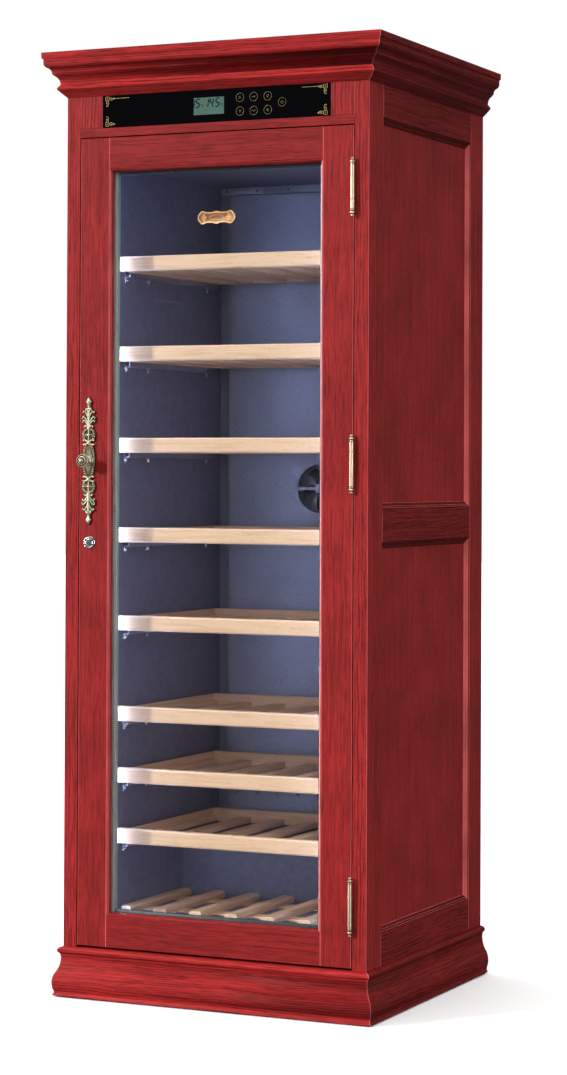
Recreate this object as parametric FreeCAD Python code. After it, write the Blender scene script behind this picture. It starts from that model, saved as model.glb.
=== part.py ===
import FreeCAD, Part
import math
import os

# Free-standing wooden wine cabinet with a glazed door, eight pull-out racks
# and a compressor cooler at the bottom of the back.
# Millimetres. Origin under the middle of the whole cabinet, on the ground.
# X to the right seen from the front, Y to the back, Z up.

# Case
case_height = 2000.0
case_width = 697.0
case_depth = 650.0
stile_width = 31.5
fascia_rail_height = 19.0
fascia_block_width = 53.0
fascia_height = 68.0
panel_recess = 10.0
panel_thickness = 12.0
side_stile_width = 76.0
side_top_rail_height = 67.0
side_mid_rail_height = 67.0
side_mid_rail_share = 0.48
side_bottom_rail_height = 66.5
back_panel_thickness = 6.0
top_board_thickness = 18.0
top_board_sink = 4.0

# Cornice, plinth and feet
cornice_overhang = 42.0
cornice_height = 94.0
plinth_height = 106.0
plinth_overhang = 18.5
plinth_inset = 24.0
base_board_thickness = 18.0
foot_lift = 3.0
foot_pad_radius = 20.0
foot_pad_height = 10.0
foot_pad_sides = 8
foot_stem_radius = 6.0
foot_stem_sides = 6
foot_inset = 70.0

# Sticking round the side panels
sticking_width = 13.0
sticking_depth = 9.0

# Cooled interior
side_insulation = 58.5
back_insulation = 64.0
floor_rise = 64.0
ceiling_drop = 54.0
liner_thickness = 3.0
hump_height = 200.0
hump_depth = 190.0
hump_insulation = 30.0
light_strip_width = 12.0
light_strip_thickness = 2.5
light_strip_setback = 6.0

# Duct cover, fan and evaporator on the back wall
duct_side_gap = 40.0
duct_depth = 36.0
duct_foot_gap = 34.0
duct_head_gap = 25.0
duct_sheet = 1.5
duct_slot_count = 9
duct_slot_width = 24.0
duct_slot_height = 5.0
duct_outlet_share = 0.863
duct_grille_height = 70.0
duct_grille_slot = 8.0
duct_grille_rise = 40.0
fan_place_share = 0.525
evaporator_place_share = 0.6
evaporator_height = 260.0
evaporator_side_gap = 55.0
evaporator_sheet = 1.5
evaporator_channel_width = 9.0
evaporator_channel_depth = 3.5
evaporator_passes = 6

# Fans
fan_radius = 50.0
fan_hub_radius = 17.0
fan_hub_sides = 16
fan_thickness = 16.0
fan_blade_count = 5
fan_blade_thickness = 1.6
fan_blade_chord = 20.0
fan_blade_pitch_angle = 45.0
fan_blade_root_radius = 14.0
fan_tip_gap = 4.0
fan_shaft_radius = 2.0
fan_shaft_length = 7.5
fan_shaft_gap = 0.05
fan_boss_width = 20.0
fan_boss_length = 8.0
fan_spoke_width = 7.0
fan_spoke_thickness = 2.0
fan_spoke_count = 3
fan_frame_side = 120.0
fan_frame_depth = 26.0

# Charcoal filter on the right wall
filter_radius = 34.0
filter_sides = 24
filter_thickness = 14.0
filter_drop = 85.0
filter_back_gap = 153.0
filter_grip_width = 34.0
filter_grip_height = 5.0
filter_grip_stand = 7.0

# Machine compartment
compressor_radius = 66.0
compressor_height = 138.0
compressor_gap_share = 0.45
compressor_foot_width = 170.0
compressor_foot_depth = 110.0
compressor_foot_thickness = 4.0
condenser_side_gap = 72.5
condenser_height = 120.0
condenser_width = 150.0
condenser_depth = 64.0
condenser_plate = 2.0
condenser_fin = 0.8
condenser_fin_count = 9
condenser_header_height = 10.0
condenser_fan_gap = 44.0
machine_back_gap = 115.0
pipe_radius = 3.0
pipe_sides = 8
grille_sheet = 1.5
grille_column_shares = [-0.337, 0.306]
grille_slot_share = 0.552
grille_slot_height = 6.0
grille_slot_pitch = 16.0
grille_slot_count = 8
inlet_side_gap = 81.5
inlet_rise = 34.0
inlet_width = 48.0
inlet_tall = 28.0
inlet_flange = 3.0
inlet_socket_width = 27.0
inlet_socket_tall = 20.0
inlet_depth = 24.0
inlet_wall = 2.0
inlet_pin_length = 12.0
inlet_pin_width = 4.0
inlet_pin_thickness = 2.0
inlet_pin_pitch = 7.0

# Door
door_thickness = 38.0
door_side_gap = 2.0
door_foot_gap = 5.0
door_stile_width = 68.0
door_rail_height = 66.0
glass_thickness = 4.0
glass_edge_gap = 0.5
glass_recess = 12.0
spacer_depth = 12.0
spacer_width = 12.0
bead_width = 7.0
gasket_depth = 8.0
gasket_width = 9.0
gasket_lap = 2.0

# Hinges
hinge_foot_gap = 66.0
hinge_head_gap = 67.0
hinge_place_shares = [0.0, 0.614, 1.0]
hinge_length = 119.0
hinge_axis_stand = 8.0
hinge_barrel_radius = 4.5
hinge_barrel_sides = 12
hinge_pin_radius = 2.5
hinge_pin_gap = 0.05
hinge_leaf_thickness = 0.85
hinge_leaf_depth = 26.0
hinge_knuckle_share = 0.52
hinge_finial_length = 12.0

# Handle, lock and plaque
handle_inset = 24.0
handle_place_share = 0.6
handle_length = 272.0
handle_width = 33.0
handle_plate_thickness = 3.5
handle_round_sides = 16
handle_lap = 2.0
knob_radius = 14.0
knob_stand = 40.0
knob_neck_radius = 5.0
knob_rose_radius = 11.0
lock_inset = 25.0
lock_gap = 37.0
lock_rim_radius = 13.5
lock_rim_thickness = 3.0
lock_barrel_radius = 9.0
lock_barrel_gap = 0.1
lock_plug_radius = 6.0
lock_plug_gap = 0.05
lock_cam_length = 35.0
lock_cam_width = 12.0
lock_cam_thickness = 2.5
lock_cam_gap = 0.5
key_slot_length = 8.0
key_slot_width = 1.6
key_slot_depth = 6.0
plaque_drop = 110.0
plaque_width = 86.0
plaque_height = 32.0
plaque_thickness = 2.0

# Control fascia
fascia_thickness = 5.0
fascia_proud = 1.0
fascia_gap = 0.5
display_x = -13.0
display_width = 70.0
display_height = 36.0
display_thickness = 3.0
control_box_depth = 46.0
control_box_margin = 6.0

# Racks and slides
rack_low_rise = 46.0
rack_place_shares = [0.0, 0.0913, 0.184, 0.3206, 0.4536, 0.5888, 0.7268, 0.8627]
rack_setback = 26.0
rack_back_gap = 11.0
rack_front_height = 32.0
rack_front_thickness = 18.0
rack_front_bevel = 3.0
rack_side_thickness = 5.0
rack_side_height = 28.0
rack_rear_thickness = 18.0
rail_width = 30.0
rail_height = 12.0
rail_bevel = 4.0
bottles_across = 6
slide_space = 13.0
slide_height = 30.0
slide_sheet = 1.5
slide_back_gap = 5.0
slide_setback = 34.0
slide_drop = 28.0
slide_gap = 0.3
slide_end_gap = 1.0

# Floor cradle for the lowest bottles
cradle_rail_height = 15.0
cradle_setback = 22.0
cradle_end_gap = 4.0
cradle_tie_depth = 40.0
cradle_tie_thickness = 4.0
cradle_tie_place_shares = [0.25, 0.75]

# How far a cutting shape runs past the faces that it cuts, the gap between
# faces that turn or slide past each other, and the angles of a turn
overrun = 5.0
running_gap = 0.3
full_turn = 360.0
quarter_turn = 90.0

# Places that follow from the sizes above
half_width = case_width / 2
front_y = (cornice_overhang - case_depth) / 2
back_y = (cornice_overhang + case_depth) / 2
case_top = case_height - cornice_height
base_top = plinth_height
side_thickness = panel_recess + panel_thickness
wall_inner = half_width - side_thickness
stile_inner = half_width - stile_width
fascia_half = stile_inner - fascia_block_width
fascia_base = case_top - fascia_height
rail_base = fascia_base - fascia_rail_height
side_mid_rail_base = base_top + side_mid_rail_share * (case_top - base_top)
top_board_top = case_height - top_board_sink
top_board_base = top_board_top - top_board_thickness
back_panel_y = back_y - back_panel_thickness
frame_back = front_y + door_thickness
flange_y = frame_back + gasket_depth

liner_half = wall_inner - side_insulation
interior_half = liner_half - liner_thickness
interior_back = back_panel_y - back_insulation - liner_thickness
interior_floor = base_top + floor_rise
interior_ceiling = rail_base - ceiling_drop
hump_top = base_top + hump_height
hump_front = interior_back - hump_depth
machine_top = hump_top - liner_thickness - hump_insulation
machine_front = hump_front + liner_thickness + hump_insulation
duct_front = interior_back - duct_depth
duct_half = interior_half - duct_side_gap
duct_base = hump_top + duct_foot_gap
duct_top = interior_ceiling - duct_head_gap
duct_height = duct_top - duct_base
fan_height = duct_base + fan_place_share * duct_height
evaporator_base = duct_base + evaporator_place_share * duct_height

condenser_x = wall_inner - condenser_side_gap - condenser_depth
condenser_fan_x = condenser_x - condenser_fan_gap - fan_frame_depth
compressor_gap = compressor_gap_share * liner_half
compressor_x = condenser_fan_x - compressor_gap - compressor_foot_width / 2
machine_y = back_panel_y - machine_back_gap
inlet_x = wall_inner - inlet_side_gap
inlet_height = base_top + inlet_rise

door_half = stile_inner - door_side_gap
door_base = base_top + door_foot_gap
door_top = rail_base - door_side_gap
door_height = door_top - door_base
sight_half = door_half - door_stile_width
sight_base = door_base + door_rail_height
sight_top = door_top - door_rail_height
glass_front = front_y + glass_recess
hinge_x = stile_inner - door_side_gap / 2
hinge_y = front_y - hinge_axis_stand
hinge_low = door_base + hinge_foot_gap
hinge_high = door_top - hinge_head_gap - hinge_length
handle_x = handle_inset - door_half
handle_z = door_base + handle_place_share * door_height
lock_x = lock_inset - door_half
lock_z = handle_z - handle_length / 2 - lock_gap
plaque_z = sight_top - plaque_drop
display_z = (fascia_base + case_top) / 2

rack_half = interior_half - slide_space
rack_front = flange_y + rack_setback
rack_back = duct_front - rack_back_gap
rack_low = hump_top + rack_low_rise
rack_tops = [rack_low + share * (interior_ceiling - rack_low) for share in rack_place_shares]
bottle_pitch = 2 * rack_half / bottles_across
slide_front = rack_front + slide_setback
slide_back = duct_front - slide_back_gap


def vec(x, y, z):
    return FreeCAD.Vector(x, y, z)


def box(x0, x1, y0, y1, z0, z1):
    return Part.makeBox(x1 - x0, y1 - y0, z1 - z0, vec(x0, y0, z0))


def cylinder(radius, length, base, axis):
    return Part.makeCylinder(radius, length, base, axis)


def other_side(shape):
    return shape.mirror(vec(0, 0, 0), vec(1, 0, 0))


def both_sides(shapes):
    return shapes + [other_side(shape) for shape in shapes]


def save(name, shapes):
    os.makedirs("parts", exist_ok=True)
    whole = shapes[0] if len(shapes) == 1 else Part.makeCompound(shapes)
    whole.exportStep("parts/" + name + ".step")


# An outline is a start point and steps: one point is a straight, two are an
# arc through the first to the second. Points are shares of two directions.
def outline_edges(start, steps, origin, across, upward):
    def place(point):
        return origin + across * point[0] + upward * point[1]

    edges = []
    current = place(start)
    for step in steps:
        points = [place(point) for point in step]
        if len(points) == 1:
            edges.append(Part.LineSegment(current, points[0]).toShape())
        else:
            edges.append(Part.Arc(current, points[0], points[1]).toShape())
        current = points[-1]
    return edges


def outline_face(start, steps, origin, across, upward):
    if steps[-1][-1] != start:
        steps = steps + [[start]]
    return Part.Face(Part.Wire(outline_edges(start, steps, origin, across, upward)))


def polygon_prism(points, base_z, height):
    corners = [vec(x, y, base_z) for x, y in points]
    wire = Part.makePolygon(corners + corners[:1])
    return Part.Face(wire).extrude(vec(0, 0, height))


def deep_prism(points, y0, y1):
    corners = [vec(x, y0, z) for x, z in points]
    wire = Part.makePolygon(corners + corners[:1])
    return Part.Face(wire).extrude(vec(0, y1 - y0, 0))


# Straight bar with a regular many-sided section.
def sided_bar(foot, axis, radius, sides, length):
    rotation = FreeCAD.Rotation(vec(0, 0, 1), axis)
    step = math.radians(full_turn / sides)
    corners = [foot + rotation.multVec(vec(radius * math.cos(index * step),
                                           radius * math.sin(index * step), 0))
               for index in range(sides)]
    return Part.Face(Part.makePolygon(corners + corners[:1])).extrude(axis * length)


# Cornice and plinth: one moulding each, in three lengths mitred at the two
# front corners and cut flush with the back of the case.
cornice_start_share = (1.0, 1.0)
cornice_step_shares = [
    [(0.99, 0.872)],
    [(0.914, 0.845)],
    [(0.914, 0.777)],
    [(0.875, 0.7), (0.755, 0.655)],
    [(0.64, 0.61), (0.595, 0.53)],
    [(0.51, 0.489)],
    [(0.335, 0.41), (0.275, 0.29)],
    [(0.395, 0.225)],
    [(0.41, 0.195), (0.385, 0.17)],
    [(0.15, 0.064)],
    [(0.0, 0.0)],
]
plinth_start_share = (0.0, 1.0)
plinth_step_shares = [
    [(0.27, 0.985)],
    [(0.54, 0.93), (0.3, 0.86)],
    [(0.22, 0.8)],
    [(0.36, 0.6), (0.8, 0.44)],
    [(0.99, 0.29), (0.8, 0.09)],
    [(0.8, 0.06)],
    [(0.9, 0.03)],
    [(0.9, 0.0)],
]


def moulding_lengths(start, steps, overhang, height, inset, base_z):
    reach = overhang + overrun
    inner = half_width - inset

    def section(origin, outward):
        edges = outline_edges(start, steps, origin, outward * overhang, vec(0, 0, height))
        top = edges[0].Vertexes[0].Point
        foot = origin + outward * (steps[-1][-1][0] * overhang)
        back = origin - outward * inset
        back_top = back + vec(0, 0, height)
        edges.append(Part.LineSegment(foot, back).toShape())
        edges.append(Part.LineSegment(back, back_top).toShape())
        edges.append(Part.LineSegment(back_top, top).toShape())
        return Part.Face(Part.Wire(edges))

    front_face = section(vec(-half_width - reach, front_y, base_z), vec(0, -1, 0))
    front = front_face.extrude(vec(2 * (half_width + reach), 0, 0))
    front_keep = polygon_prism(
        [(-half_width - reach, front_y - reach), (half_width + reach, front_y - reach),
         (inner, front_y + inset), (-inner, front_y + inset)], base_z, height)
    side_face = section(vec(half_width, front_y - reach, base_z), vec(1, 0, 0))
    side = side_face.extrude(vec(0, case_depth + reach, 0))
    side_keep = polygon_prism(
        [(inner, front_y + inset), (half_width + reach, front_y - reach),
         (half_width + reach, back_y), (inner, back_y)], base_z, height)
    side = side.common(side_keep).Solids[0]
    return [front.common(front_keep).Solids[0], side, other_side(side)]


def make_cornice():
    save("cornice", moulding_lengths(
        cornice_start_share, cornice_step_shares, cornice_overhang, cornice_height,
        side_thickness, case_top))


def make_plinth():
    save("plinth", moulding_lengths(
        plinth_start_share, plinth_step_shares, plinth_overhang, plinth_height - foot_lift,
        plinth_inset, foot_lift))


def make_base():
    inner = half_width - plinth_inset
    base_bottom = base_top - base_board_thickness
    save("base_board", [box(-inner, inner, front_y + plinth_inset, back_y, base_bottom, base_top)])
    feet = []
    for x in (-inner + foot_inset, inner - foot_inset):
        for y in (front_y + plinth_inset + foot_inset, back_y - foot_inset):
            pad = sided_bar(vec(x, y, 0), vec(0, 0, 1), foot_pad_radius, foot_pad_sides,
                            foot_pad_height)
            stem = sided_bar(vec(x, y, foot_pad_height), vec(0, 0, 1), foot_stem_radius,
                             foot_stem_sides, base_bottom - foot_pad_height)
            feet.append(pad.fuse(stem).removeSplitter().Solids[0])
    save("levelling_feet", feet)


# Case front: two stiles, the rail over the door and a block each side of the
# control fascia.
def make_face_frame():
    stile = box(stile_inner, half_width, front_y, frame_back, base_top, case_top)
    rail = box(-stile_inner, stile_inner, front_y, frame_back, rail_base, fascia_base)
    block = box(fascia_half, stile_inner, front_y, frame_back, fascia_base, case_top)
    save("face_frame", both_sides([stile, block]) + [rail])


# Case sides: frames of two stiles and three rails with sunk flat panels.
def make_sides():
    front_end = frame_back
    stile_end = front_y + side_stile_width
    rear_start = back_y - side_stile_width
    mid_top = side_mid_rail_base + side_mid_rail_height
    low_top = base_top + side_bottom_rail_height
    high_base = case_top - side_top_rail_height
    frame = [
        box(wall_inner, half_width, front_end, stile_end, base_top, case_top),
        box(wall_inner, half_width, rear_start, back_y, base_top, case_top),
        box(wall_inner, half_width, stile_end, rear_start, base_top, low_top),
        box(wall_inner, half_width, stile_end, rear_start, side_mid_rail_base, mid_top),
        box(wall_inner, half_width, stile_end, rear_start, high_base, case_top),
    ]
    save("side_frames", both_sides(frame))
    panel_face = half_width - panel_recess
    openings = [(low_top, side_mid_rail_base), (mid_top, high_base)]
    panels = []
    mouldings = []
    for low, high in openings:
        panels.append(box(wall_inner, panel_face, stile_end, rear_start, low, high))
        centre = vec(panel_face, (stile_end + rear_start) / 2, (low + high) / 2)
        ring = mitred_ring(rear_start - stile_end, high - low, sticking_start_share,
                           sticking_step_shares, sticking_width, sticking_depth)
        mouldings += [stand_up(length, centre, vec(0, 1, 0), vec(1, 0, 0)) for length in ring]
    save("side_panels", both_sides(panels))
    save("panel_mouldings", both_sides(mouldings))


sticking_start_share = (0.0, 0.0)
sticking_step_shares = [
    [(0.0, 0.88)],
    [(0.2, 0.88)],
    [(0.5, 0.44)],
    [(0.68, 0.44)],
    [(1.0, 0.12)],
    [(1.0, 0.0)],
]
bead_start_share = (0.0, 0.0)
bead_step_shares = [
    [(0.0, 0.92)],
    [(0.3, 0.92)],
    [(0.72, 0.78)],
    [(1.0, 0.3)],
    [(1.0, 0.0)],
]


# Four mitred lengths round an opening. The ring lies flat about the origin,
# X and Y along the opening's sides and Z out of its face.
def mitred_ring(width, height, start, steps, moulding_width, moulding_depth):
    lengths = []
    for side_length, other_length, turn_count in (
            (width, height, 0), (height, width, 1), (width, height, 2), (height, width, 3)):
        half = side_length / 2
        edge = -other_length / 2
        origin = vec(-half, edge, 0)
        face = outline_face(start, steps, origin, vec(0, moulding_width, 0),
                            vec(0, 0, moulding_depth))
        run = face.extrude(vec(side_length, 0, 0))
        reach = moulding_width + overrun
        keep = polygon_prism(
            [(-half, edge), (half, edge), (half - reach, edge + reach),
             (-half + reach, edge + reach)], -overrun, moulding_depth + 2 * overrun)
        length = run.common(keep).Solids[0]
        length.rotate(vec(0, 0, 0), vec(0, 0, 1), turn_count * quarter_turn)
        lengths.append(length)
    return lengths


# Turns a flat ring upright: its X goes to the given direction, its Y to +Z.
def stand_up(shape, centre, across, outward):
    turned = shape.copy()
    rotation = FreeCAD.Rotation(across, vec(0, 0, 1), outward, "XYZ")
    turned.Placement = FreeCAD.Placement(centre, rotation).multiply(shape.Placement)
    return turned


def make_top_and_back():
    inner_front = front_y + side_thickness
    save("top_board", [box(-wall_inner, wall_inner, inner_front, back_y,
                           top_board_base, top_board_top)])
    save("back_panel", [box(-wall_inner, wall_inner, back_panel_y, back_y,
                            hump_top, top_board_base)])


# Steel lining of the cooled space: flat sheets with a front flange that the
# door gasket lands on, and a step over the machine compartment.
def make_liner():
    floor_base = interior_floor - liner_thickness
    ceiling_top = interior_ceiling + liner_thickness
    flange_back = flange_y + liner_thickness
    back_face = interior_back + liner_thickness
    sheets = both_sides([
        box(interior_half, liner_half, flange_y, back_face, floor_base, ceiling_top),
        box(liner_half, wall_inner, flange_y, flange_back, base_top, fascia_base),
    ])
    sheets += [
        box(-interior_half, interior_half, flange_y, interior_back, interior_ceiling, ceiling_top),
        box(-interior_half, interior_half, flange_y, hump_front, floor_base, interior_floor),
        box(-liner_half, liner_half, flange_y, flange_back, ceiling_top, fascia_base),
        box(-liner_half, liner_half, flange_y, flange_back, base_top, floor_base),
        box(-interior_half, interior_half, hump_front, hump_front + liner_thickness,
            floor_base, hump_top),
        box(-interior_half, interior_half, hump_front + liner_thickness, interior_back,
            hump_top - liner_thickness, hump_top),
    ]
    save("liner_walls", sheets)
    save("liner_back", [box(-interior_half, interior_half, interior_back, back_face,
                            hump_top - liner_thickness, ceiling_top)])
    slab_front = flange_back
    slabs = both_sides([
        box(liner_half, wall_inner, slab_front, back_panel_y, base_top, fascia_base)])
    slabs += [
        box(-liner_half, liner_half, slab_front, back_panel_y, ceiling_top, fascia_base),
        box(-liner_half, liner_half, slab_front, machine_front, base_top, floor_base),
        box(-interior_half, interior_half, hump_front + liner_thickness, machine_front,
            floor_base, machine_top),
        box(-interior_half, interior_half, hump_front + liner_thickness, back_panel_y,
            machine_top, hump_top - liner_thickness),
        box(-liner_half, liner_half, back_face, back_panel_y,
            hump_top - liner_thickness, ceiling_top),
    ]
    save("insulation", slabs)
    strip_front = flange_y + light_strip_setback
    strip = box(interior_half - light_strip_thickness, interior_half,
                strip_front, strip_front + light_strip_width, interior_floor, interior_ceiling)
    save("light_strips", both_sides([strip]))


# Spoked carrier for a fan: a square boss with a shaft bore, held by spokes.
# It lies about the origin with its axis along +Z and its back at zero.
def fan_carrier(reach):
    half = fan_boss_width / 2
    carrier = box(-half, half, -half, half, 0, fan_boss_length)
    for index in range(fan_spoke_count):
        spoke = box(0, reach, -fan_spoke_width / 2, fan_spoke_width / 2, 0, fan_spoke_thickness)
        spoke.rotate(vec(0, 0, 0), vec(0, 0, 1), index * full_turn / fan_spoke_count)
        carrier = carrier.fuse(spoke)
    bore = cylinder(fan_shaft_radius + fan_shaft_gap, fan_boss_length + 2 * overrun,
                    vec(0, 0, -overrun), vec(0, 0, 1))
    return carrier.cut(bore).removeSplitter()


# Fan wheel about the origin: hub, pitched blades and a shaft that points
# down -Z into the boss.
def fan_wheel():
    wheel = sided_bar(vec(0, 0, 0), vec(0, 0, 1), fan_hub_radius, fan_hub_sides, fan_thickness)
    for index in range(fan_blade_count):
        blade = fan_blade()
        blade.rotate(vec(0, 0, 0), vec(0, 0, 1), index * full_turn / fan_blade_count)
        wheel = wheel.fuse(blade)
    shaft = cylinder(fan_shaft_radius, fan_shaft_length, vec(0, 0, -fan_shaft_length), vec(0, 0, 1))
    return wheel.fuse(shaft).removeSplitter().Solids[0]


def fan_blade():
    half = fan_blade_thickness / 2
    blade = box(fan_blade_root_radius, fan_radius - fan_blade_thickness, -half, half,
                -fan_blade_chord / 2, fan_blade_chord / 2)
    blade.rotate(vec(0, 0, 0), vec(1, 0, 0), fan_blade_pitch_angle)
    blade.translate(vec(0, 0, fan_thickness / 2))
    return blade


# Plate evaporator: a flat sheet on the back wall with a raised channel that
# runs to and fro across it.
def make_evaporator():
    half = duct_half - evaporator_side_gap
    top = evaporator_base + evaporator_height
    sheet_front = interior_back - evaporator_sheet
    channel_front = sheet_front - evaporator_channel_depth
    width = evaporator_channel_width
    plate = box(-half, half, sheet_front, interior_back, evaporator_base, top)
    pitch = evaporator_height / evaporator_passes
    run_half = half - width
    first = evaporator_base + pitch / 2 - width / 2
    for index in range(evaporator_passes):
        low = first + index * pitch
        plate = plate.fuse(box(-run_half, run_half, channel_front, sheet_front, low, low + width))
        if index < evaporator_passes - 1:
            left = run_half - width if index % 2 == 0 else -run_half
            plate = plate.fuse(box(left, left + width, channel_front, sheet_front,
                                   low + width, low + pitch))
    save("evaporator_plate", [plate.removeSplitter().Solids[0]])


# Embossed cover over the evaporator, with an air outlet row at the top, the
# fan's inlet in the middle and a slotted grille at the foot.
def make_duct():
    half = duct_half
    outlet_height = duct_base + duct_outlet_share * duct_height
    grille_base = duct_base + duct_grille_rise
    shell = box(-half, half, duct_front, interior_back, duct_base, duct_top)
    hollow = box(-half + duct_sheet, half - duct_sheet, duct_front + duct_sheet,
                 interior_back + overrun, duct_base + duct_sheet, duct_top - duct_sheet)
    shell = shell.cut(hollow)
    cut_depth = duct_sheet + 2 * overrun
    cuts = [cylinder(fan_radius + fan_tip_gap, cut_depth,
                     vec(0, duct_front - overrun, fan_height), vec(0, 1, 0))]
    pitch = 2 * half / duct_slot_count
    for index in range(duct_slot_count):
        x = -half + pitch / 2 + index * pitch
        cuts.append(box(x - duct_slot_width / 2, x + duct_slot_width / 2,
                        duct_front - overrun, duct_front - overrun + cut_depth,
                        outlet_height - duct_slot_height / 2,
                        outlet_height + duct_slot_height / 2))
        cuts.append(box(x - duct_grille_slot / 2, x + duct_grille_slot / 2,
                        duct_front - overrun, duct_front - overrun + cut_depth,
                        grille_base, grille_base + duct_grille_height))
    shell = shell.cut(Part.makeCompound(cuts))
    carrier = fan_carrier(fan_radius + fan_tip_gap + duct_sheet)
    carrier = stand_up(carrier, vec(0, duct_front, fan_height), vec(-1, 0, 0), vec(0, 1, 0))
    save("duct_cover", [shell.fuse(carrier).removeSplitter().Solids[0]])
    wheel_y = duct_front + fan_boss_length + running_gap
    wheel = stand_up(fan_wheel(), vec(0, wheel_y, fan_height), vec(-1, 0, 0), vec(0, 1, 0))
    save("circulation_fan", [wheel])


# Round charcoal filter cartridge set on the right wall near the ceiling.
def make_filter():
    filter_y = interior_back - filter_back_gap
    filter_height = interior_ceiling - filter_drop
    centre = vec(interior_half, filter_y, filter_height)
    body = sided_bar(centre, vec(-1, 0, 0), filter_radius, filter_sides, filter_thickness)
    grip = box(interior_half - filter_thickness - filter_grip_stand,
               interior_half - filter_thickness,
               filter_y - filter_grip_width / 2, filter_y + filter_grip_width / 2,
               filter_height - filter_grip_height / 2, filter_height + filter_grip_height / 2)
    save("charcoal_filter", [body.fuse(grip).removeSplitter().Solids[0]])


compressor_start_share = (0.0, 0.0)
compressor_step_shares = [
    [(1.0, 0.0)],
    [(1.0, 0.8)],
    [(0.8, 0.8)],
    [(0.8, 1.0)],
    [(0.0, 1.0)],
]


# Compressor, finned condenser with its fan, and the pipe between them.
def make_machine():
    foot = box(compressor_x - compressor_foot_width / 2, compressor_x + compressor_foot_width / 2,
               machine_y - compressor_foot_depth / 2, machine_y + compressor_foot_depth / 2,
               base_top, base_top + compressor_foot_thickness)
    shell_foot = vec(compressor_x, machine_y, base_top + compressor_foot_thickness)
    shell_top = base_top + compressor_height
    face = outline_face(compressor_start_share, compressor_step_shares, shell_foot,
                        vec(compressor_radius, 0, 0), vec(0, 0, shell_top - shell_foot.z))
    shell = face.revolve(shell_foot, vec(0, 0, 1), full_turn)
    save("compressor", [shell.fuse(foot).removeSplitter().Solids[0]])

    end_x = condenser_x + condenser_depth
    fin_low = machine_y - condenser_width / 2
    fin_high = machine_y + condenser_width / 2
    header_base = base_top + condenser_height - condenser_header_height
    block = [
        box(condenser_x, end_x, fin_low, fin_low + condenser_plate, base_top, header_base),
        box(condenser_x, end_x, fin_high - condenser_plate, fin_high, base_top, header_base),
        box(condenser_x, end_x, fin_low, fin_high, header_base, base_top + condenser_height),
    ]
    pitch = (condenser_width - condenser_plate) / (condenser_fin_count + 1)
    for index in range(condenser_fin_count):
        y = fin_low + (index + 1) * pitch
        block.append(box(condenser_x, end_x, y, y + condenser_fin, base_top, header_base))
    save("condenser", block)

    half = fan_frame_side / 2
    centre_z = base_top + half
    frame = box(condenser_fan_x, condenser_fan_x + fan_frame_depth,
                machine_y - half, machine_y + half, base_top, base_top + fan_frame_side)
    mouth = cylinder(fan_radius + fan_tip_gap, fan_frame_depth + 2 * overrun,
                     vec(condenser_fan_x - overrun, machine_y, centre_z), vec(1, 0, 0))
    carrier = fan_carrier(fan_radius + fan_tip_gap + fan_spoke_thickness)
    hub_place = vec(condenser_fan_x, machine_y, centre_z)
    carrier = stand_up(carrier, hub_place, vec(0, 1, 0), vec(1, 0, 0))
    frame = frame.cut(mouth).fuse(carrier).removeSplitter()
    save("condenser_fan_frame", [frame.Solids[0]])
    wheel_x = condenser_fan_x + fan_boss_length + running_gap
    wheel = stand_up(fan_wheel(), vec(wheel_x, machine_y, centre_z), vec(0, 1, 0), vec(1, 0, 0))
    save("condenser_fan", [wheel])

    pipe_z = shell_top + pipe_radius
    reach = condenser_x + condenser_depth / 2 - compressor_x
    riser = sided_bar(vec(compressor_x, machine_y, shell_top), vec(0, 0, 1),
                      pipe_radius, pipe_sides, machine_top - shell_top)
    run = sided_bar(vec(compressor_x, machine_y, pipe_z), vec(1, 0, 0),
                    pipe_radius, pipe_sides, reach)
    drop_base = base_top + condenser_height
    drop = sided_bar(vec(compressor_x + reach, machine_y, drop_base), vec(0, 0, 1),
                     pipe_radius, pipe_sides, pipe_z - drop_base)
    pipe = riser.fuse(run).fuse(drop).removeSplitter()
    save("refrigerant_pipe", [pipe.Solids[0]])


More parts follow.
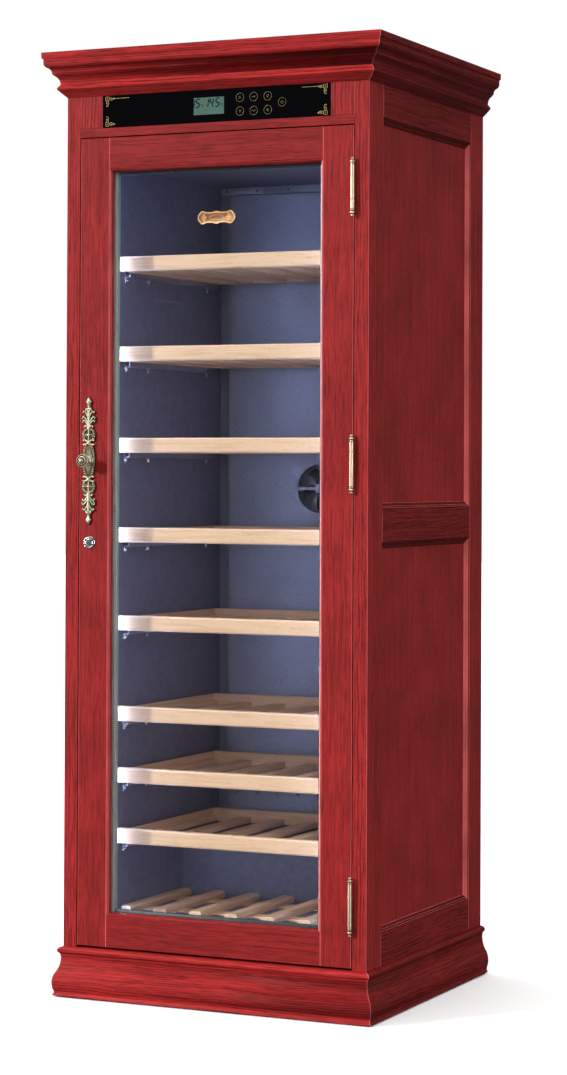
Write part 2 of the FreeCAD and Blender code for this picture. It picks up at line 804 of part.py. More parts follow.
# Slotted sheet over the machine compartment, with the mains inlet.
def make_rear_grille():
    sheet_back = back_panel_y + grille_sheet
    sheet = box(-wall_inner, wall_inner, back_panel_y, sheet_back, base_top, hump_top)
    span = (grille_slot_count - 1) * grille_slot_pitch
    first = (base_top + hump_top - span) / 2
    slot_half = grille_slot_share * wall_inner / 2
    cuts = []
    for index in range(grille_slot_count):
        z = first + index * grille_slot_pitch
        for share in grille_column_shares:
            x = share * wall_inner
            cuts.append(box(x - slot_half, x + slot_half, back_panel_y - overrun,
                            sheet_back + overrun, z - grille_slot_height / 2,
                            z + grille_slot_height / 2))
    body_half = inlet_socket_width / 2 + inlet_wall
    body_low = inlet_height - inlet_socket_tall / 2 - inlet_wall
    body_high = inlet_height + inlet_socket_tall / 2 + inlet_wall
    mouth = box(inlet_x - body_half, inlet_x + body_half,
                back_panel_y - overrun, sheet_back + overrun, body_low, body_high)
    save("rear_grille", [sheet.cut(Part.makeCompound(cuts + [mouth])).Solids[0]])

    flange = box(inlet_x - inlet_width / 2, inlet_x + inlet_width / 2,
                 sheet_back, sheet_back + inlet_flange,
                 inlet_height - inlet_tall / 2, inlet_height + inlet_tall / 2)
    body = box(inlet_x - body_half, inlet_x + body_half,
               sheet_back - inlet_depth, sheet_back, body_low, body_high)
    socket = box(inlet_x - inlet_socket_width / 2, inlet_x + inlet_socket_width / 2,
                 sheet_back - inlet_depth + inlet_wall, sheet_back + inlet_flange + overrun,
                 inlet_height - inlet_socket_tall / 2, inlet_height + inlet_socket_tall / 2)
    inlet = flange.fuse(body).cut(socket)
    for step in (-1, 0, 1):
        x = inlet_x + step * inlet_pin_pitch
        pin = box(x - inlet_pin_thickness / 2, x + inlet_pin_thickness / 2,
                  sheet_back - inlet_depth, sheet_back - inlet_depth + inlet_pin_length,
                  inlet_height - inlet_pin_width / 2, inlet_height + inlet_pin_width / 2)
        inlet = inlet.fuse(pin)
    save("power_inlet", [inlet.removeSplitter().Solids[0]])


# Door: frame, beads, double glazing on a spacer and the magnetic gasket.
def make_door():
    stile = box(sight_half, door_half, front_y, frame_back, door_base, door_top)
    rails = [
        box(-sight_half, sight_half, front_y, frame_back, door_base, sight_base),
        box(-sight_half, sight_half, front_y, frame_back, sight_top, door_top),
    ]
    bore = cylinder(lock_barrel_radius + lock_barrel_gap, door_thickness + 2 * overrun,
                    vec(lock_x, front_y - overrun, lock_z), vec(0, 1, 0))
    save("door_frame", [stile, other_side(stile).cut(bore).Solids[0]] + rails)

    width = 2 * sight_half
    height = sight_top - sight_base
    middle = (sight_top + sight_base) / 2
    inner_front = glass_front + glass_thickness + spacer_depth
    inner_back = inner_front + glass_thickness
    front_ring = mitred_ring(width, height, bead_start_share, bead_step_shares,
                             bead_width, glass_recess)
    back_ring = mitred_ring(width, height, bead_start_share, bead_step_shares,
                            bead_width, frame_back - inner_back)
    front_place = vec(0, glass_front, middle)
    back_place = vec(0, inner_back, middle)
    beads = [stand_up(length, front_place, vec(1, 0, 0), vec(0, -1, 0)) for length in front_ring]
    beads += [stand_up(length, back_place, vec(-1, 0, 0), vec(0, 1, 0)) for length in back_ring]
    save("glazing_beads", beads)

    edge = sight_half - glass_edge_gap
    low = sight_base + glass_edge_gap
    high = sight_top - glass_edge_gap
    save("outer_glass", [box(-edge, edge, glass_front, glass_front + glass_thickness, low, high)])
    save("inner_glass", [box(-edge, edge, inner_front, inner_back, low, high)])
    save("glass_spacer", bar_ring(edge, low, high, spacer_width,
                                  glass_front + glass_thickness, inner_front))
    gasket_half = interior_half + gasket_lap + gasket_width
    gasket_low = interior_floor - gasket_lap - gasket_width
    gasket_high = interior_ceiling + gasket_lap + gasket_width
    save("door_gasket", bar_ring(gasket_half, gasket_low, gasket_high, gasket_width,
                                 frame_back, flange_y))


# Four straight bars round a rectangle, uprights full height.
def bar_ring(half, low, high, width, y0, y1):
    upright = box(half - width, half, y0, y1, low, high)
    return both_sides([upright]) + [
        box(-half + width, half - width, y0, y1, low, low + width),
        box(-half + width, half - width, y0, y1, high - width, high),
    ]


hinge_finial_ring_shares = [(1.0, 0.0), (0.5, 0.24), (0.95, 0.56)]


# Pointed turning in flat sides about an upright axis: rings of corners, each
# joined to the next, and the last one closed to a tip.
def hinge_finial(foot, length):
    step = math.radians(full_turn / hinge_barrel_sides)
    rings = []
    for radius_share, height_share in hinge_finial_ring_shares:
        radius = radius_share * hinge_barrel_radius
        rings.append([foot + vec(radius * math.cos(index * step), radius * math.sin(index * step),
                                 height_share * length) for index in range(hinge_barrel_sides)])
    tip = foot + vec(0, 0, length)
    outlines = [rings[0]]
    for index in range(hinge_barrel_sides):
        following = (index + 1) % hinge_barrel_sides
        for low, high in zip(rings, rings[1:]):
            outlines.append([low[index], low[following], high[following], high[index]])
        outlines.append([rings[-1][index], rings[-1][following], tip])
    faces = [Part.Face(Part.makePolygon(points + points[:1])) for points in outlines]
    solid = Part.Solid(Part.Shell(faces))
    if solid.Volume < 0:
        solid.reverse()
    return solid


# Finial barrel hinges. The case half has the end knuckles, the pin and both
# finials; the door half has the long middle knuckle.
def make_hinges():
    frame_halves = []
    door_halves = []
    for share in hinge_place_shares:
        base = hinge_low + share * (hinge_high - hinge_low)
        barrel_base = base + hinge_finial_length
        barrel_length = hinge_length - 2 * hinge_finial_length
        middle_length = barrel_length * hinge_knuckle_share
        end_length = (barrel_length - middle_length) / 2
        middle_base = barrel_base + end_length
        axis_foot = vec(hinge_x, hinge_y, barrel_base)
        knuckle_length = end_length - running_gap
        high_base = middle_base + middle_length + running_gap
        low = sided_bar(axis_foot, vec(0, 0, 1), hinge_barrel_radius, hinge_barrel_sides,
                        knuckle_length)
        high = sided_bar(vec(hinge_x, hinge_y, high_base), vec(0, 0, 1),
                         hinge_barrel_radius, hinge_barrel_sides, knuckle_length)
        pin = cylinder(hinge_pin_radius, barrel_length, axis_foot, vec(0, 0, 1))
        half = low.fuse(high).fuse(pin)
        for end_z, upward in ((barrel_base + barrel_length, 1), (barrel_base, -1)):
            half = half.fuse(hinge_finial(vec(hinge_x, hinge_y, end_z),
                                          upward * hinge_finial_length))
        leaf_back = hinge_y + hinge_leaf_depth
        for leaf_base in (barrel_base, high_base):
            half = half.fuse(box(stile_inner - hinge_leaf_thickness, stile_inner,
                                 hinge_y + hinge_pin_radius, leaf_back,
                                 leaf_base, leaf_base + knuckle_length))
        spine_front = hinge_y + hinge_barrel_radius + hinge_leaf_thickness
        half = half.fuse(box(stile_inner - hinge_leaf_thickness, stile_inner,
                             spine_front, leaf_back, barrel_base, barrel_base + barrel_length))
        frame_halves.append(half.removeSplitter().Solids[0])

        knuckle = sided_bar(vec(hinge_x, hinge_y, middle_base), vec(0, 0, 1),
                            hinge_barrel_radius, hinge_barrel_sides, middle_length)
        leaf = box(door_half, door_half + hinge_leaf_thickness, hinge_y, leaf_back,
                   middle_base, middle_base + middle_length)
        bore = cylinder(hinge_pin_radius + hinge_pin_gap, middle_length + 2 * overrun,
                        vec(hinge_x, hinge_y, middle_base - overrun), vec(0, 0, 1))
        door_halves.append(knuckle.fuse(leaf).cut(bore).removeSplitter().Solids[0])
    save("hinge_frame_leaves", frame_halves)
    save("hinge_door_leaves", door_halves)


# Openwork back plate of the handle: an oval centre, a pierced round each
# side of it, a leaf spray and a pointed finial at each end.
def ellipse_prism(x, z, half_across, half_tall, y0, y1):
    major, minor = max(half_across, half_tall), min(half_across, half_tall)
    curve = Part.Ellipse(vec(0, 0, 0), major, minor)
    face = Part.Face(Part.Wire([curve.toShape()]))
    if half_tall > half_across:
        face.rotate(vec(0, 0, 0), vec(0, 0, 1), quarter_turn)
    face.rotate(vec(0, 0, 0), vec(1, 0, 0), quarter_turn)
    face.translate(vec(x, y1, z))
    return face.extrude(vec(0, y0 - y1, 0))


def diamond_prism(x, z, half_across, half_tall, y0, y1):
    return deep_prism([(x - half_across, z), (x, z - half_tall), (x + half_across, z),
                       (x, z + half_tall)], y0, y1)


leaf_start_share = (0.0, 0.133)
leaf_step_shares = [
    [(0.3, 0.133)],
    [(0.64, 0.21)],
    [(0.5, 0.28)],
    [(0.95, 0.36)],
    [(0.98, 0.45)],
    [(0.62, 0.53)],
    [(0.9, 0.6)],
    [(0.28, 0.68)],
    [(0.28, 0.77)],
    [(0.44, 0.86)],
    [(0.0, 1.0)],
]
oval_width_share = 0.9
oval_height_share = 0.3
round_radius_share = 0.47
hole_across_share = 0.14
hole_tall_share = 0.148
hole_side_share = 0.22
hole_lift_share = 0.23
slit_across_share = 0.07
slit_tall_share = 0.116
slit_side_share = 0.17
slit_place_share = 0.435


def make_handle():
    half_length = handle_length / 2
    y0 = front_y - handle_plate_thickness
    cut_y0 = y0 - overrun
    cut_y1 = front_y + overrun
    oval_height = half_length * oval_height_share
    round_radius = handle_width * round_radius_share
    round_offset = oval_height + round_radius - handle_lap
    leaf_reach = half_length - round_offset
    plate = ellipse_prism(handle_x, handle_z, handle_width / 2 * oval_width_share,
                          oval_height, y0, front_y)
    holes = []
    for upward in (1, -1):
        round_z = handle_z + upward * round_offset
        plate = plate.fuse(sided_bar(vec(handle_x, front_y, round_z), vec(0, -1, 0),
                                     round_radius, handle_round_sides, handle_plate_thickness))
        slit_z = round_z + upward * leaf_reach * slit_place_share
        for side in (1, -1):
            face = outline_face(leaf_start_share, leaf_step_shares,
                                vec(handle_x, front_y, round_z),
                                vec(side * handle_width / 2, 0, 0),
                                vec(0, 0, upward * leaf_reach))
            plate = plate.fuse(face.extrude(vec(0, -handle_plate_thickness, 0)))
            hole_x = handle_x + side * handle_width * hole_side_share
            for lift in (1, -1):
                holes.append(diamond_prism(hole_x, round_z + lift * handle_width * hole_lift_share,
                                           handle_width * hole_across_share,
                                           handle_width * hole_tall_share, cut_y0, cut_y1))
            holes.append(diamond_prism(handle_x + side * handle_width * slit_side_share, slit_z,
                                       handle_width * slit_across_share,
                                       leaf_reach * slit_tall_share, cut_y0, cut_y1))
    plate = plate.cut(Part.makeCompound(holes)).removeSplitter()
    save("handle_plate", [plate.Solids[0]])

    face = outline_face(knob_start_share, knob_step_shares, vec(handle_x, y0, handle_z),
                        vec(knob_radius, 0, 0), vec(0, handle_plate_thickness - knob_stand, 0))
    knob = face.revolve(vec(handle_x, y0, handle_z), vec(0, 1, 0), full_turn)
    save("handle_knob", [knob])


knob_rose_share = knob_rose_radius / knob_radius
knob_neck_share = knob_neck_radius / knob_radius
knob_start_share = (0.0, 0.0)
knob_step_shares = [
    [(knob_rose_share, 0.0)],
    [(knob_rose_share, 0.09)],
    [(knob_neck_share, 0.09)],
    [(knob_neck_share, 0.6)],
    [(1.0, 0.6)],
    [(1.0, 0.92)],
    [(knob_rose_share, 0.92)],
    [(knob_rose_share, 1.0)],
    [(0.0, 1.0)],
]


# Cam lock: rim and barrel through the door stile, and a plug that turns in
# the barrel with its cam behind the stile. The cam points down, unlocked.
def make_lock():
    rim = cylinder(lock_rim_radius, lock_rim_thickness,
                   vec(lock_x, front_y - lock_rim_thickness, lock_z), vec(0, 1, 0))
    barrel = cylinder(lock_barrel_radius, door_thickness,
                      vec(lock_x, front_y, lock_z), vec(0, 1, 0))
    bore = cylinder(lock_plug_radius + lock_plug_gap, door_thickness + 4 * overrun,
                    vec(lock_x, front_y - 2 * overrun, lock_z), vec(0, 1, 0))
    save("lock_body", [rim.fuse(barrel).cut(bore).removeSplitter().Solids[0]])

    plug_front = front_y - lock_rim_thickness
    cam_front = frame_back + lock_cam_gap
    plug = cylinder(lock_plug_radius, cam_front + lock_cam_thickness - plug_front,
                    vec(lock_x, plug_front, lock_z), vec(0, 1, 0))
    slot = box(lock_x - key_slot_width / 2, lock_x + key_slot_width / 2,
               plug_front - overrun, plug_front + key_slot_depth,
               lock_z - key_slot_length / 2, lock_z + key_slot_length / 2)
    cam = box(lock_x - lock_cam_width / 2, lock_x + lock_cam_width / 2,
              cam_front, cam_front + lock_cam_thickness, lock_z - lock_cam_length, lock_z)
    collar = cylinder(lock_cam_width / 2, lock_cam_thickness,
                      vec(lock_x, cam_front, lock_z), vec(0, 1, 0))
    save("lock_plug", [plug.cut(slot).fuse(cam).fuse(collar).removeSplitter().Solids[0]])


plaque_start_share = (0.0, 0.36)
plaque_step_shares = [
    [(0.2, 0.36)],
    [(0.27, 0.5)],
    [(0.35, 0.5)],
    [(0.42, 0.3)],
    [(0.5, 0.0), (0.42, -0.3)],
    [(0.35, -0.5)],
    [(0.27, -0.5)],
    [(0.2, -0.36)],
    [(0.0, -0.36)],
]


# Small bare plate with scrolled edges, stuck on the outer pane.
def make_plaque():
    halves = []
    for side in (1, -1):
        face = outline_face(plaque_start_share, plaque_step_shares,
                            vec(0, glass_front, plaque_z), vec(side * plaque_width, 0, 0),
                            vec(0, 0, plaque_height))
        halves.append(face.extrude(vec(0, -plaque_thickness, 0)))
    save("plaque", [halves[0].fuse(halves[1]).removeSplitter().Solids[0]])


def make_controls():
    half = fascia_half - fascia_gap
    y0 = front_y - fascia_proud
    y1 = y0 + fascia_thickness
    glass = box(-half, half, y0, y1, fascia_base + fascia_gap, case_top - fascia_gap)
    display = box(display_x - display_width / 2, display_x + display_width / 2,
                  y0, y0 + display_thickness,
                  display_z - display_height / 2, display_z + display_height / 2)
    save("control_fascia", [glass.cut(display).Solids[0]])
    save("display", [display])
    margin = control_box_margin
    save("control_box", [box(-half + margin, half - margin, y1, y1 + control_box_depth,
                             fascia_base, case_top - margin)])


# Beech rack: a front strip bevelled along its edges, a low bar at the back,
# five rails between them that the bottles lie between, and a side bar with a
# raised edge that the slide is screwed to.
def make_rack(number, top):
    half = rack_half
    base = top - rack_front_height
    bevel = rack_front_bevel
    strip_back = rack_front + rack_front_thickness
    section = [vec(-half, strip_back, base), vec(-half, strip_back, top),
               vec(-half, rack_front + bevel, top), vec(-half, rack_front, top - bevel),
               vec(-half, rack_front, base + bevel), vec(-half, rack_front + bevel, base)]
    strip = Part.Face(Part.makePolygon(section + section[:1])).extrude(vec(2 * half, 0, 0))
    rear_front = rack_back - rack_rear_thickness
    rear = box(-half, half, rear_front, rack_back, base, base + rack_side_height)
    inner = half - rail_width / 2
    rail_top = base + rail_height
    edge = half - rack_side_thickness
    side = deep_prism([(half, base), (half, base + rack_side_height),
                       (edge, base + rack_side_height), (edge, rail_top),
                       (inner, rail_top), (inner, base)], strip_back, rear_front)
    rails = [box(x - rail_width / 2, x + rail_width / 2, strip_back, rear_front, base, rail_top)
             for x in rail_places()]
    save("rack_%d" % number, [strip, rear] + both_sides([side]) + rails)


def rail_places():
    first = -(bottles_across - 2) * bottle_pitch / 2
    return [first + index * bottle_pitch for index in range(bottles_across - 1)]


# Telescopic slide: the case half is a channel on the lining, the rack half a
# smaller channel that runs inside it.
def slide_channel(outer_x, inner_x, half_height, y0, y1, z):
    x0, x1 = sorted((outer_x, inner_x))
    sheet = slide_sheet
    whole = box(x0, x1, y0, y1, z - half_height, z + half_height)
    if outer_x > inner_x:
        hollow = box(x0 - overrun, x1 - sheet, y0 - overrun, y1 + overrun,
                     z - half_height + sheet, z + half_height - sheet)
    else:
        hollow = box(x0 + sheet, x1 + overrun, y0 - overrun, y1 + overrun,
                     z - half_height + sheet, z + half_height - sheet)
    return whole.cut(hollow).Solids[0]


def make_slides():
    fixed = []
    for number, top in enumerate(rack_tops, start=1):
        z = top - slide_drop
        fixed.append(slide_channel(interior_half, rack_half + slide_sheet + slide_gap,
                                   slide_height / 2, slide_front, slide_back, z))
        runner_half = slide_height / 2 - slide_sheet - slide_gap
        runner = slide_channel(rack_half, interior_half - slide_sheet - slide_end_gap,
                               runner_half, slide_front, slide_back - slide_end_gap, z)
        save("runner_%d" % number, both_sides([runner]))
    save("slide_rails", both_sides(fixed))


# Cradle on the floor for the lowest bottles: rails bevelled along both top
# edges, half rails at the sides and low ties between them.
def make_cradle():
    y0 = rack_front + cradle_setback
    y1 = hump_front - cradle_end_gap
    base = interior_floor
    top = base + cradle_rail_height
    half = rail_width / 2
    bevel = rail_bevel
    rails = [deep_prism([(x - half, base), (x + half, base), (x + half, top - bevel),
                         (x + half - bevel, top), (x - half + bevel, top),
                         (x - half, top - bevel)], y0, y1) for x in rail_places()]
    edge = interior_half - cradle_end_gap
    inner = rack_half - half
    side = deep_prism([(edge, base), (edge, top), (inner + bevel, top),
                       (inner, top - bevel), (inner, base)], y0, y1)
    ties = []
    for x in [-inner - half] + rail_places():
        left = x + half
        for share in cradle_tie_place_shares:
            middle = y0 + share * (y1 - y0)
            ties.append(box(left, left + bottle_pitch - rail_width,
                            middle - cradle_tie_depth / 2, middle + cradle_tie_depth / 2,
                            base, base + cradle_tie_thickness))
    save("bottle_cradle", rails + both_sides([side]) + ties)


make_plinth()
make_base()
make_face_frame()
make_sides()
make_cornice()
make_top_and_back()
make_liner()
make_duct()
make_evaporator()
make_filter()
make_machine()
make_rear_grille()
make_door()
make_hinges()
make_handle()
make_lock()
make_plaque()
make_controls()
for rack_number, rack_top in enumerate(rack_tops, start=1):
    make_rack(rack_number, rack_top)
make_slides()
make_cradle()
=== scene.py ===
import math

import bmesh
import bpy
from mathutils import Matrix, Vector


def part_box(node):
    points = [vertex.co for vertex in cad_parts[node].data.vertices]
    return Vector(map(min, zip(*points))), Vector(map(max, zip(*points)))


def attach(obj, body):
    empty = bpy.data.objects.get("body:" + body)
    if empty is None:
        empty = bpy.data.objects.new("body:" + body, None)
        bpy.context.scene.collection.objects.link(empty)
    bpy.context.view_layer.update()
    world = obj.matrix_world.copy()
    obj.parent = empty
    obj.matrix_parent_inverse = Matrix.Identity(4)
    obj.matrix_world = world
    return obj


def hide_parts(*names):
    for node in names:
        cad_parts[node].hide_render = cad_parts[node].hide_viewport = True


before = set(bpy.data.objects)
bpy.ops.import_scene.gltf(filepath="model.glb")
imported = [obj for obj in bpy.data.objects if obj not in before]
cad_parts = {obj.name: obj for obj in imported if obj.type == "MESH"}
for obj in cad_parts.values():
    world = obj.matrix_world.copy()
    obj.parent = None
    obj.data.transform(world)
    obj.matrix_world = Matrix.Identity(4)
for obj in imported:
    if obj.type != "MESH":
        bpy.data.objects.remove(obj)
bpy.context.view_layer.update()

mm = 0.001
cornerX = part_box("side_frames")[1].x
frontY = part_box("face_frame")[0].y
rackNumbers = range(1, 9)
print("stage: frame loaded")


def startMaterial():
    material = bpy.data.materials.new("finish")
    material.use_nodes = True
    return material, material.node_tree, material.node_tree.nodes["Principled BSDF"]


def setInputs(tree, node, values):
    for key, value in values.items():
        if isinstance(value, bpy.types.NodeSocket):
            tree.links.new(value, node.inputs[key])
        else:
            node.inputs[key].default_value = value


def addNode(tree, kind, values=None, **settings):
    node = tree.nodes.new("ShaderNode" + kind)
    for key, value in settings.items():
        setattr(node, key, value)
    setInputs(tree, node, values or {})
    return node


def objectCoords(tree):
    return addNode(tree, "TexCoord").outputs["Object"]


def placeAlong(tree, axis):
    return addNode(tree, "SeparateXYZ", {"Vector": objectCoords(tree)}).outputs[axis]


def stretched(tree, vector, scale, shift=(0.0, 0.0, 0.0)):
    return addNode(tree, "Mapping", {"Vector": vector, "Scale": scale,
                                     "Location": shift}).outputs["Vector"]


def noise(tree, vector, scale, detail=3.0, roughness=0.5):
    return addNode(tree, "TexNoise", {"Vector": vector, "Scale": scale, "Detail": detail,
                                      "Roughness": roughness}).outputs["Fac"]


def ramp(tree, factor, *stops):
    node = addNode(tree, "ValToRGB", {"Fac": factor})
    elements = node.color_ramp.elements
    while len(elements) < len(stops):
        elements.new(0.5)
    for element, (place, colour) in zip(elements, stops):
        element.position = place
        element.color = (*colour, 1.0)
    return node.outputs["Color"]


def grey(value):
    return (value, value, value)


def shaded(colour, amount):
    return tuple(min(1.0, channel * amount) for channel in colour)


def mixed(tree, factor, first, second, blend="MIX"):
    first, second = [(*value, 1.0) if isinstance(value, tuple) else value
                     for value in (first, second)]
    return addNode(tree, "Mix", {0: factor, 6: first, 7: second}, data_type="RGBA",
                   blend_type=blend).outputs[2]


def multiplied(tree, first, second, factor=1.0):
    return mixed(tree, factor, first, second, "MULTIPLY")


def maths(tree, operation, first, second=0.0):
    return addNode(tree, "Math", {0: first, 1: second}, operation=operation).outputs[0]


def vectorMaths(tree, operation, first, second):
    return addNode(tree, "VectorMath", {0: first, 1: second}, operation=operation).outputs[0]


def bump(tree, height, strength, distance):
    return addNode(tree, "Bump", {"Height": height, "Strength": strength,
                                  "Distance": distance}).outputs["Normal"]


def mapped(tree, value, fromLow, fromHigh, toLow, toHigh):
    return addNode(tree, "MapRange", {"Value": value, "From Min": fromLow, "From Max": fromHigh,
                                      "To Min": toLow, "To Max": toHigh}).outputs["Result"]


def alongAxis(axis, amount):
    return tuple(amount if index == axis else 1.0 for index in range(3))


# Growth lines that wander: the pattern's place is pushed a few millimetres by a slow noise.
def wandering(tree, reach, scale):
    coords = objectCoords(tree)
    push = addNode(tree, "TexNoise", {"Vector": coords, "Scale": scale, "Detail": 1.0})
    centred = vectorMaths(tree, "ADD", push.outputs["Color"], (-0.5, -0.5, -0.5))
    offset = vectorMaths(tree, "MULTIPLY", centred, (reach, reach, reach))
    return vectorMaths(tree, "ADD", coords, offset)


# Open-grained timber under a red stain: growth rings round a far heart line, which wander, with
# finer pores along the grain and clouds of deeper stain. Along the mitre line a painted highlight
# is full up to one distance from the mitre and fades out at the next, at the strength given.
stainLook = {"colour": (0.286, 0.0146, 0.0146), "ringScale": 70.0, "poreScale": 420.0,
             "hearts": ((0.0, -0.25, -1.0), (0.0, 0.0, -0.4), (0.0, -0.1, 0.0)),
             "wander": 0.012, "wanderScale": 6.0, "roughness": 0.55, "specular": 0.08,
             "coat": 0.10, "coatRoughness": 0.22, "highlit": (0.62, 0.12, 0.12),
             "mitreLine": (0.0006, 0.0020, 0.75)}


# Full on the mitre planes at the front corners, where a painted highlight lies, and 0 off them.
def nearMitre(tree):
    highlit, faded, strength = stainLook["mitreLine"]
    total = maths(tree, "ADD", maths(tree, "ABSOLUTE", placeAlong(tree, "X")), placeAlong(tree, "Y"))
    off = maths(tree, "ABSOLUTE", maths(tree, "SUBTRACT", total, cornerX + frontY))
    return mapped(tree, off, highlit, faded, strength, 0.0)


# Tone above 1 paints light into the stain and below 1 paints shade; mitred adds a painted highlight.
def stainedWood(axis, lines, cloud=0.14, cloudScale=5.0, tone=1.0, coat=stainLook["coat"],
                pore=0.34, streak=0.06, mitred=False):
    look = stainLook
    material, tree, shader = startMaterial()
    coords = wandering(tree, look["wander"], look["wanderScale"])
    fromHeart = stretched(tree, coords, (1.0, 1.0, 1.0), look["hearts"][axis])
    rings = addNode(tree, "TexWave", {"Vector": fromHeart, "Scale": look["ringScale"],
                                      "Distortion": 2.0, "Detail": 1.0, "Detail Scale": 3.0},
                    wave_type="RINGS", rings_direction="XYZ"[axis]).outputs["Fac"]
    grain = noise(tree, stretched(tree, coords, alongAxis(axis, 0.012)), 260.0, 1.0)
    pores = noise(tree, stretched(tree, coords, alongAxis(axis, streak)), look["poreScale"], 2.0)
    clouds = noise(tree, objectCoords(tree), cloudScale, 2.0)
    base = ramp(tree, grain, (0.34, shaded(look["colour"], 0.84 * tone)),
                (0.60, shaded(look["colour"], 1.10 * tone)))
    base = multiplied(tree, base, ramp(tree, clouds, (0.32, grey(1.0 - cloud)), (0.68, grey(1.0))))
    dark = ramp(tree, rings, (0.04, grey(1.0 - lines)), (0.30, grey(1.0 - 0.4 * lines)),
                (0.55, grey(1.0)))
    dark = mixed(tree, mapped(tree, grain, 0.42, 0.62, 0.0, 0.8), dark, grey(1.0))
    fine = ramp(tree, pores, (0.36, grey(1.0 - pore)), (0.52, grey(1.0)))
    base = multiplied(tree, multiplied(tree, base, dark), fine)
    # painted highlight along the mitred front corners
    if mitred:
        base = mixed(tree, nearMitre(tree), base, look["highlit"])
    rough = look["roughness"]
    setInputs(tree, shader, {"Base Color": base,
                             "Roughness": mapped(tree, grain, 0.35, 0.6, rough + 0.10, rough),
                             "Normal": bump(tree, mixed(tree, 0.5, dark, fine), 0.30, 0.0003),
                             "Specular IOR Level": look["specular"], "Coat Weight": coat,
                             "Coat Roughness": look["coatRoughness"]})
    return material


# Pale timber glued up from short lengths, each a little different, with small flecks.
beechLook = {"light": (0.80, 0.51, 0.32), "dark": (0.72, 0.43, 0.26), "fleck": (0.46, 0.25, 0.14),
             "lengths": 7.4, "tint": 0.10, "wander": 0.010, "wanderScale": 6.0, "coat": 0.10}


def beechWood(axis):
    look = beechLook
    material, tree, shader = startMaterial()
    coords = wandering(tree, look["wander"], look["wanderScale"])
    bands = noise(tree, stretched(tree, coords, alongAxis(axis, 0.05)), 160.0, 2.0)
    flecks = noise(tree, stretched(tree, coords, alongAxis(axis, 0.12)), 900.0, 1.5)
    jointed = addNode(tree, "TexVoronoi", {"W": placeAlong(tree, "XYZ"[axis]),
                                           "Scale": look["lengths"]},
                      voronoi_dimensions="1D").outputs["Color"]
    tint = ramp(tree, jointed, (0.0, grey(1.0 - look["tint"])), (1.0, grey(1.0)))
    base = multiplied(tree, ramp(tree, bands, (0.34, look["dark"]), (0.52, look["light"])), tint)
    base = mixed(tree, ramp(tree, flecks, (0.30, grey(0.7)), (0.38, grey(0.0))), base, look["fleck"])
    setInputs(tree, shader, {"Base Color": base, "Coat Weight": look["coat"],
                             "Roughness": mapped(tree, bands, 0.3, 0.7, 0.52, 0.40),
                             "Normal": bump(tree, flecks, 0.15, 0.0002)})
    return material


def plainFinish(colour, roughness, metallic=0.0, grain=240.0, bumpStrength=0.12, spread=0.12,
                coat=0.0, squeeze=(1.0, 1.0, 1.0), specular=0.5):
    material, tree, shader = startMaterial()
    vector = stretched(tree, objectCoords(tree), squeeze)
    fine = noise(tree, vector, grain, 3.0, 0.55)
    broad = noise(tree, vector, grain / 24.0, 2.0)
    smoother, rougher = roughness * 0.85, min(1.0, roughness * 1.2)
    setInputs(tree, shader, {"Base Color": ramp(tree, broad, (0.3, shaded(colour, 1.0 - spread)),
                                                (0.7, shaded(colour, 1.0 + spread))),
                             "Roughness": mapped(tree, fine, 0.3, 0.7, smoother, rougher),
                             "Normal": bump(tree, fine, bumpStrength, 0.0003),
                             "Metallic": metallic, "Coat Weight": coat,
                             "Specular IOR Level": specular})
    return material


# Brass bright on its crests and dark in its hollows, by how far it stands out of the door.
brassLook = {"hollow": (0.022, 0.018, 0.009), "slope": (0.11, 0.088, 0.042),
             "crest": (0.74, 0.68, 0.48), "crestY": -0.3104, "hollowY": -0.3070, "metallic": 0.6}


def antiqueBrass():
    look = brassLook
    material, tree, shader = startMaterial()
    height = mapped(tree, placeAlong(tree, "Y"), look["crestY"], look["hollowY"], 1.0, 0.0)
    spots = noise(tree, objectCoords(tree), 420.0, 4.0, 0.6)
    blend = addNode(tree, "Math", {0: height, 1: mapped(tree, spots, 0.3, 0.7, -0.2, 0.2)},
                    operation="ADD", use_clamp=True).outputs[0]
    setInputs(tree, shader, {"Base Color": ramp(tree, blend, (0.0, look["hollow"]),
                                                (0.42, look["slope"]), (0.88, look["crest"])),
                             "Roughness": mapped(tree, blend, 0.0, 1.0, 0.60, 0.34),
                             "Normal": bump(tree, spots, 0.2, 0.0002),
                             "Metallic": look["metallic"]})
    return material


# Sheet pressed with small round dimples.
def embossedMetal(colour, dimples=190.0, metallic=0.35):
    material, tree, shader = startMaterial()
    cells = addNode(tree, "TexVoronoi", {"Vector": objectCoords(tree), "Scale": dimples,
                                         "Smoothness": 0.5}, feature="SMOOTH_F1").outputs["Distance"]
    broad = noise(tree, objectCoords(tree), 9.0, 2.0)
    setInputs(tree, shader, {"Base Color": ramp(tree, broad, (0.3, shaded(colour, 0.85)),
                                                (0.7, colour)),
                             "Roughness": mapped(tree, cells, 0.0, 0.8, 0.22, 0.42),
                             "Normal": bump(tree, cells, 0.5, 0.0008), "Metallic": metallic})
    return material


# Spacer bar with fine holes, its own colour along the handle side and painted shade elsewhere. The
# scale of the holes leaves one direction out.
spacerLook = {"paintedShade": (0.020, 0.020, 0.032), "lightEnd": -0.2342, "paintedShadeStart": -0.2338,
              "paintedShadeShare": 0.9, "metallic": 0.3}


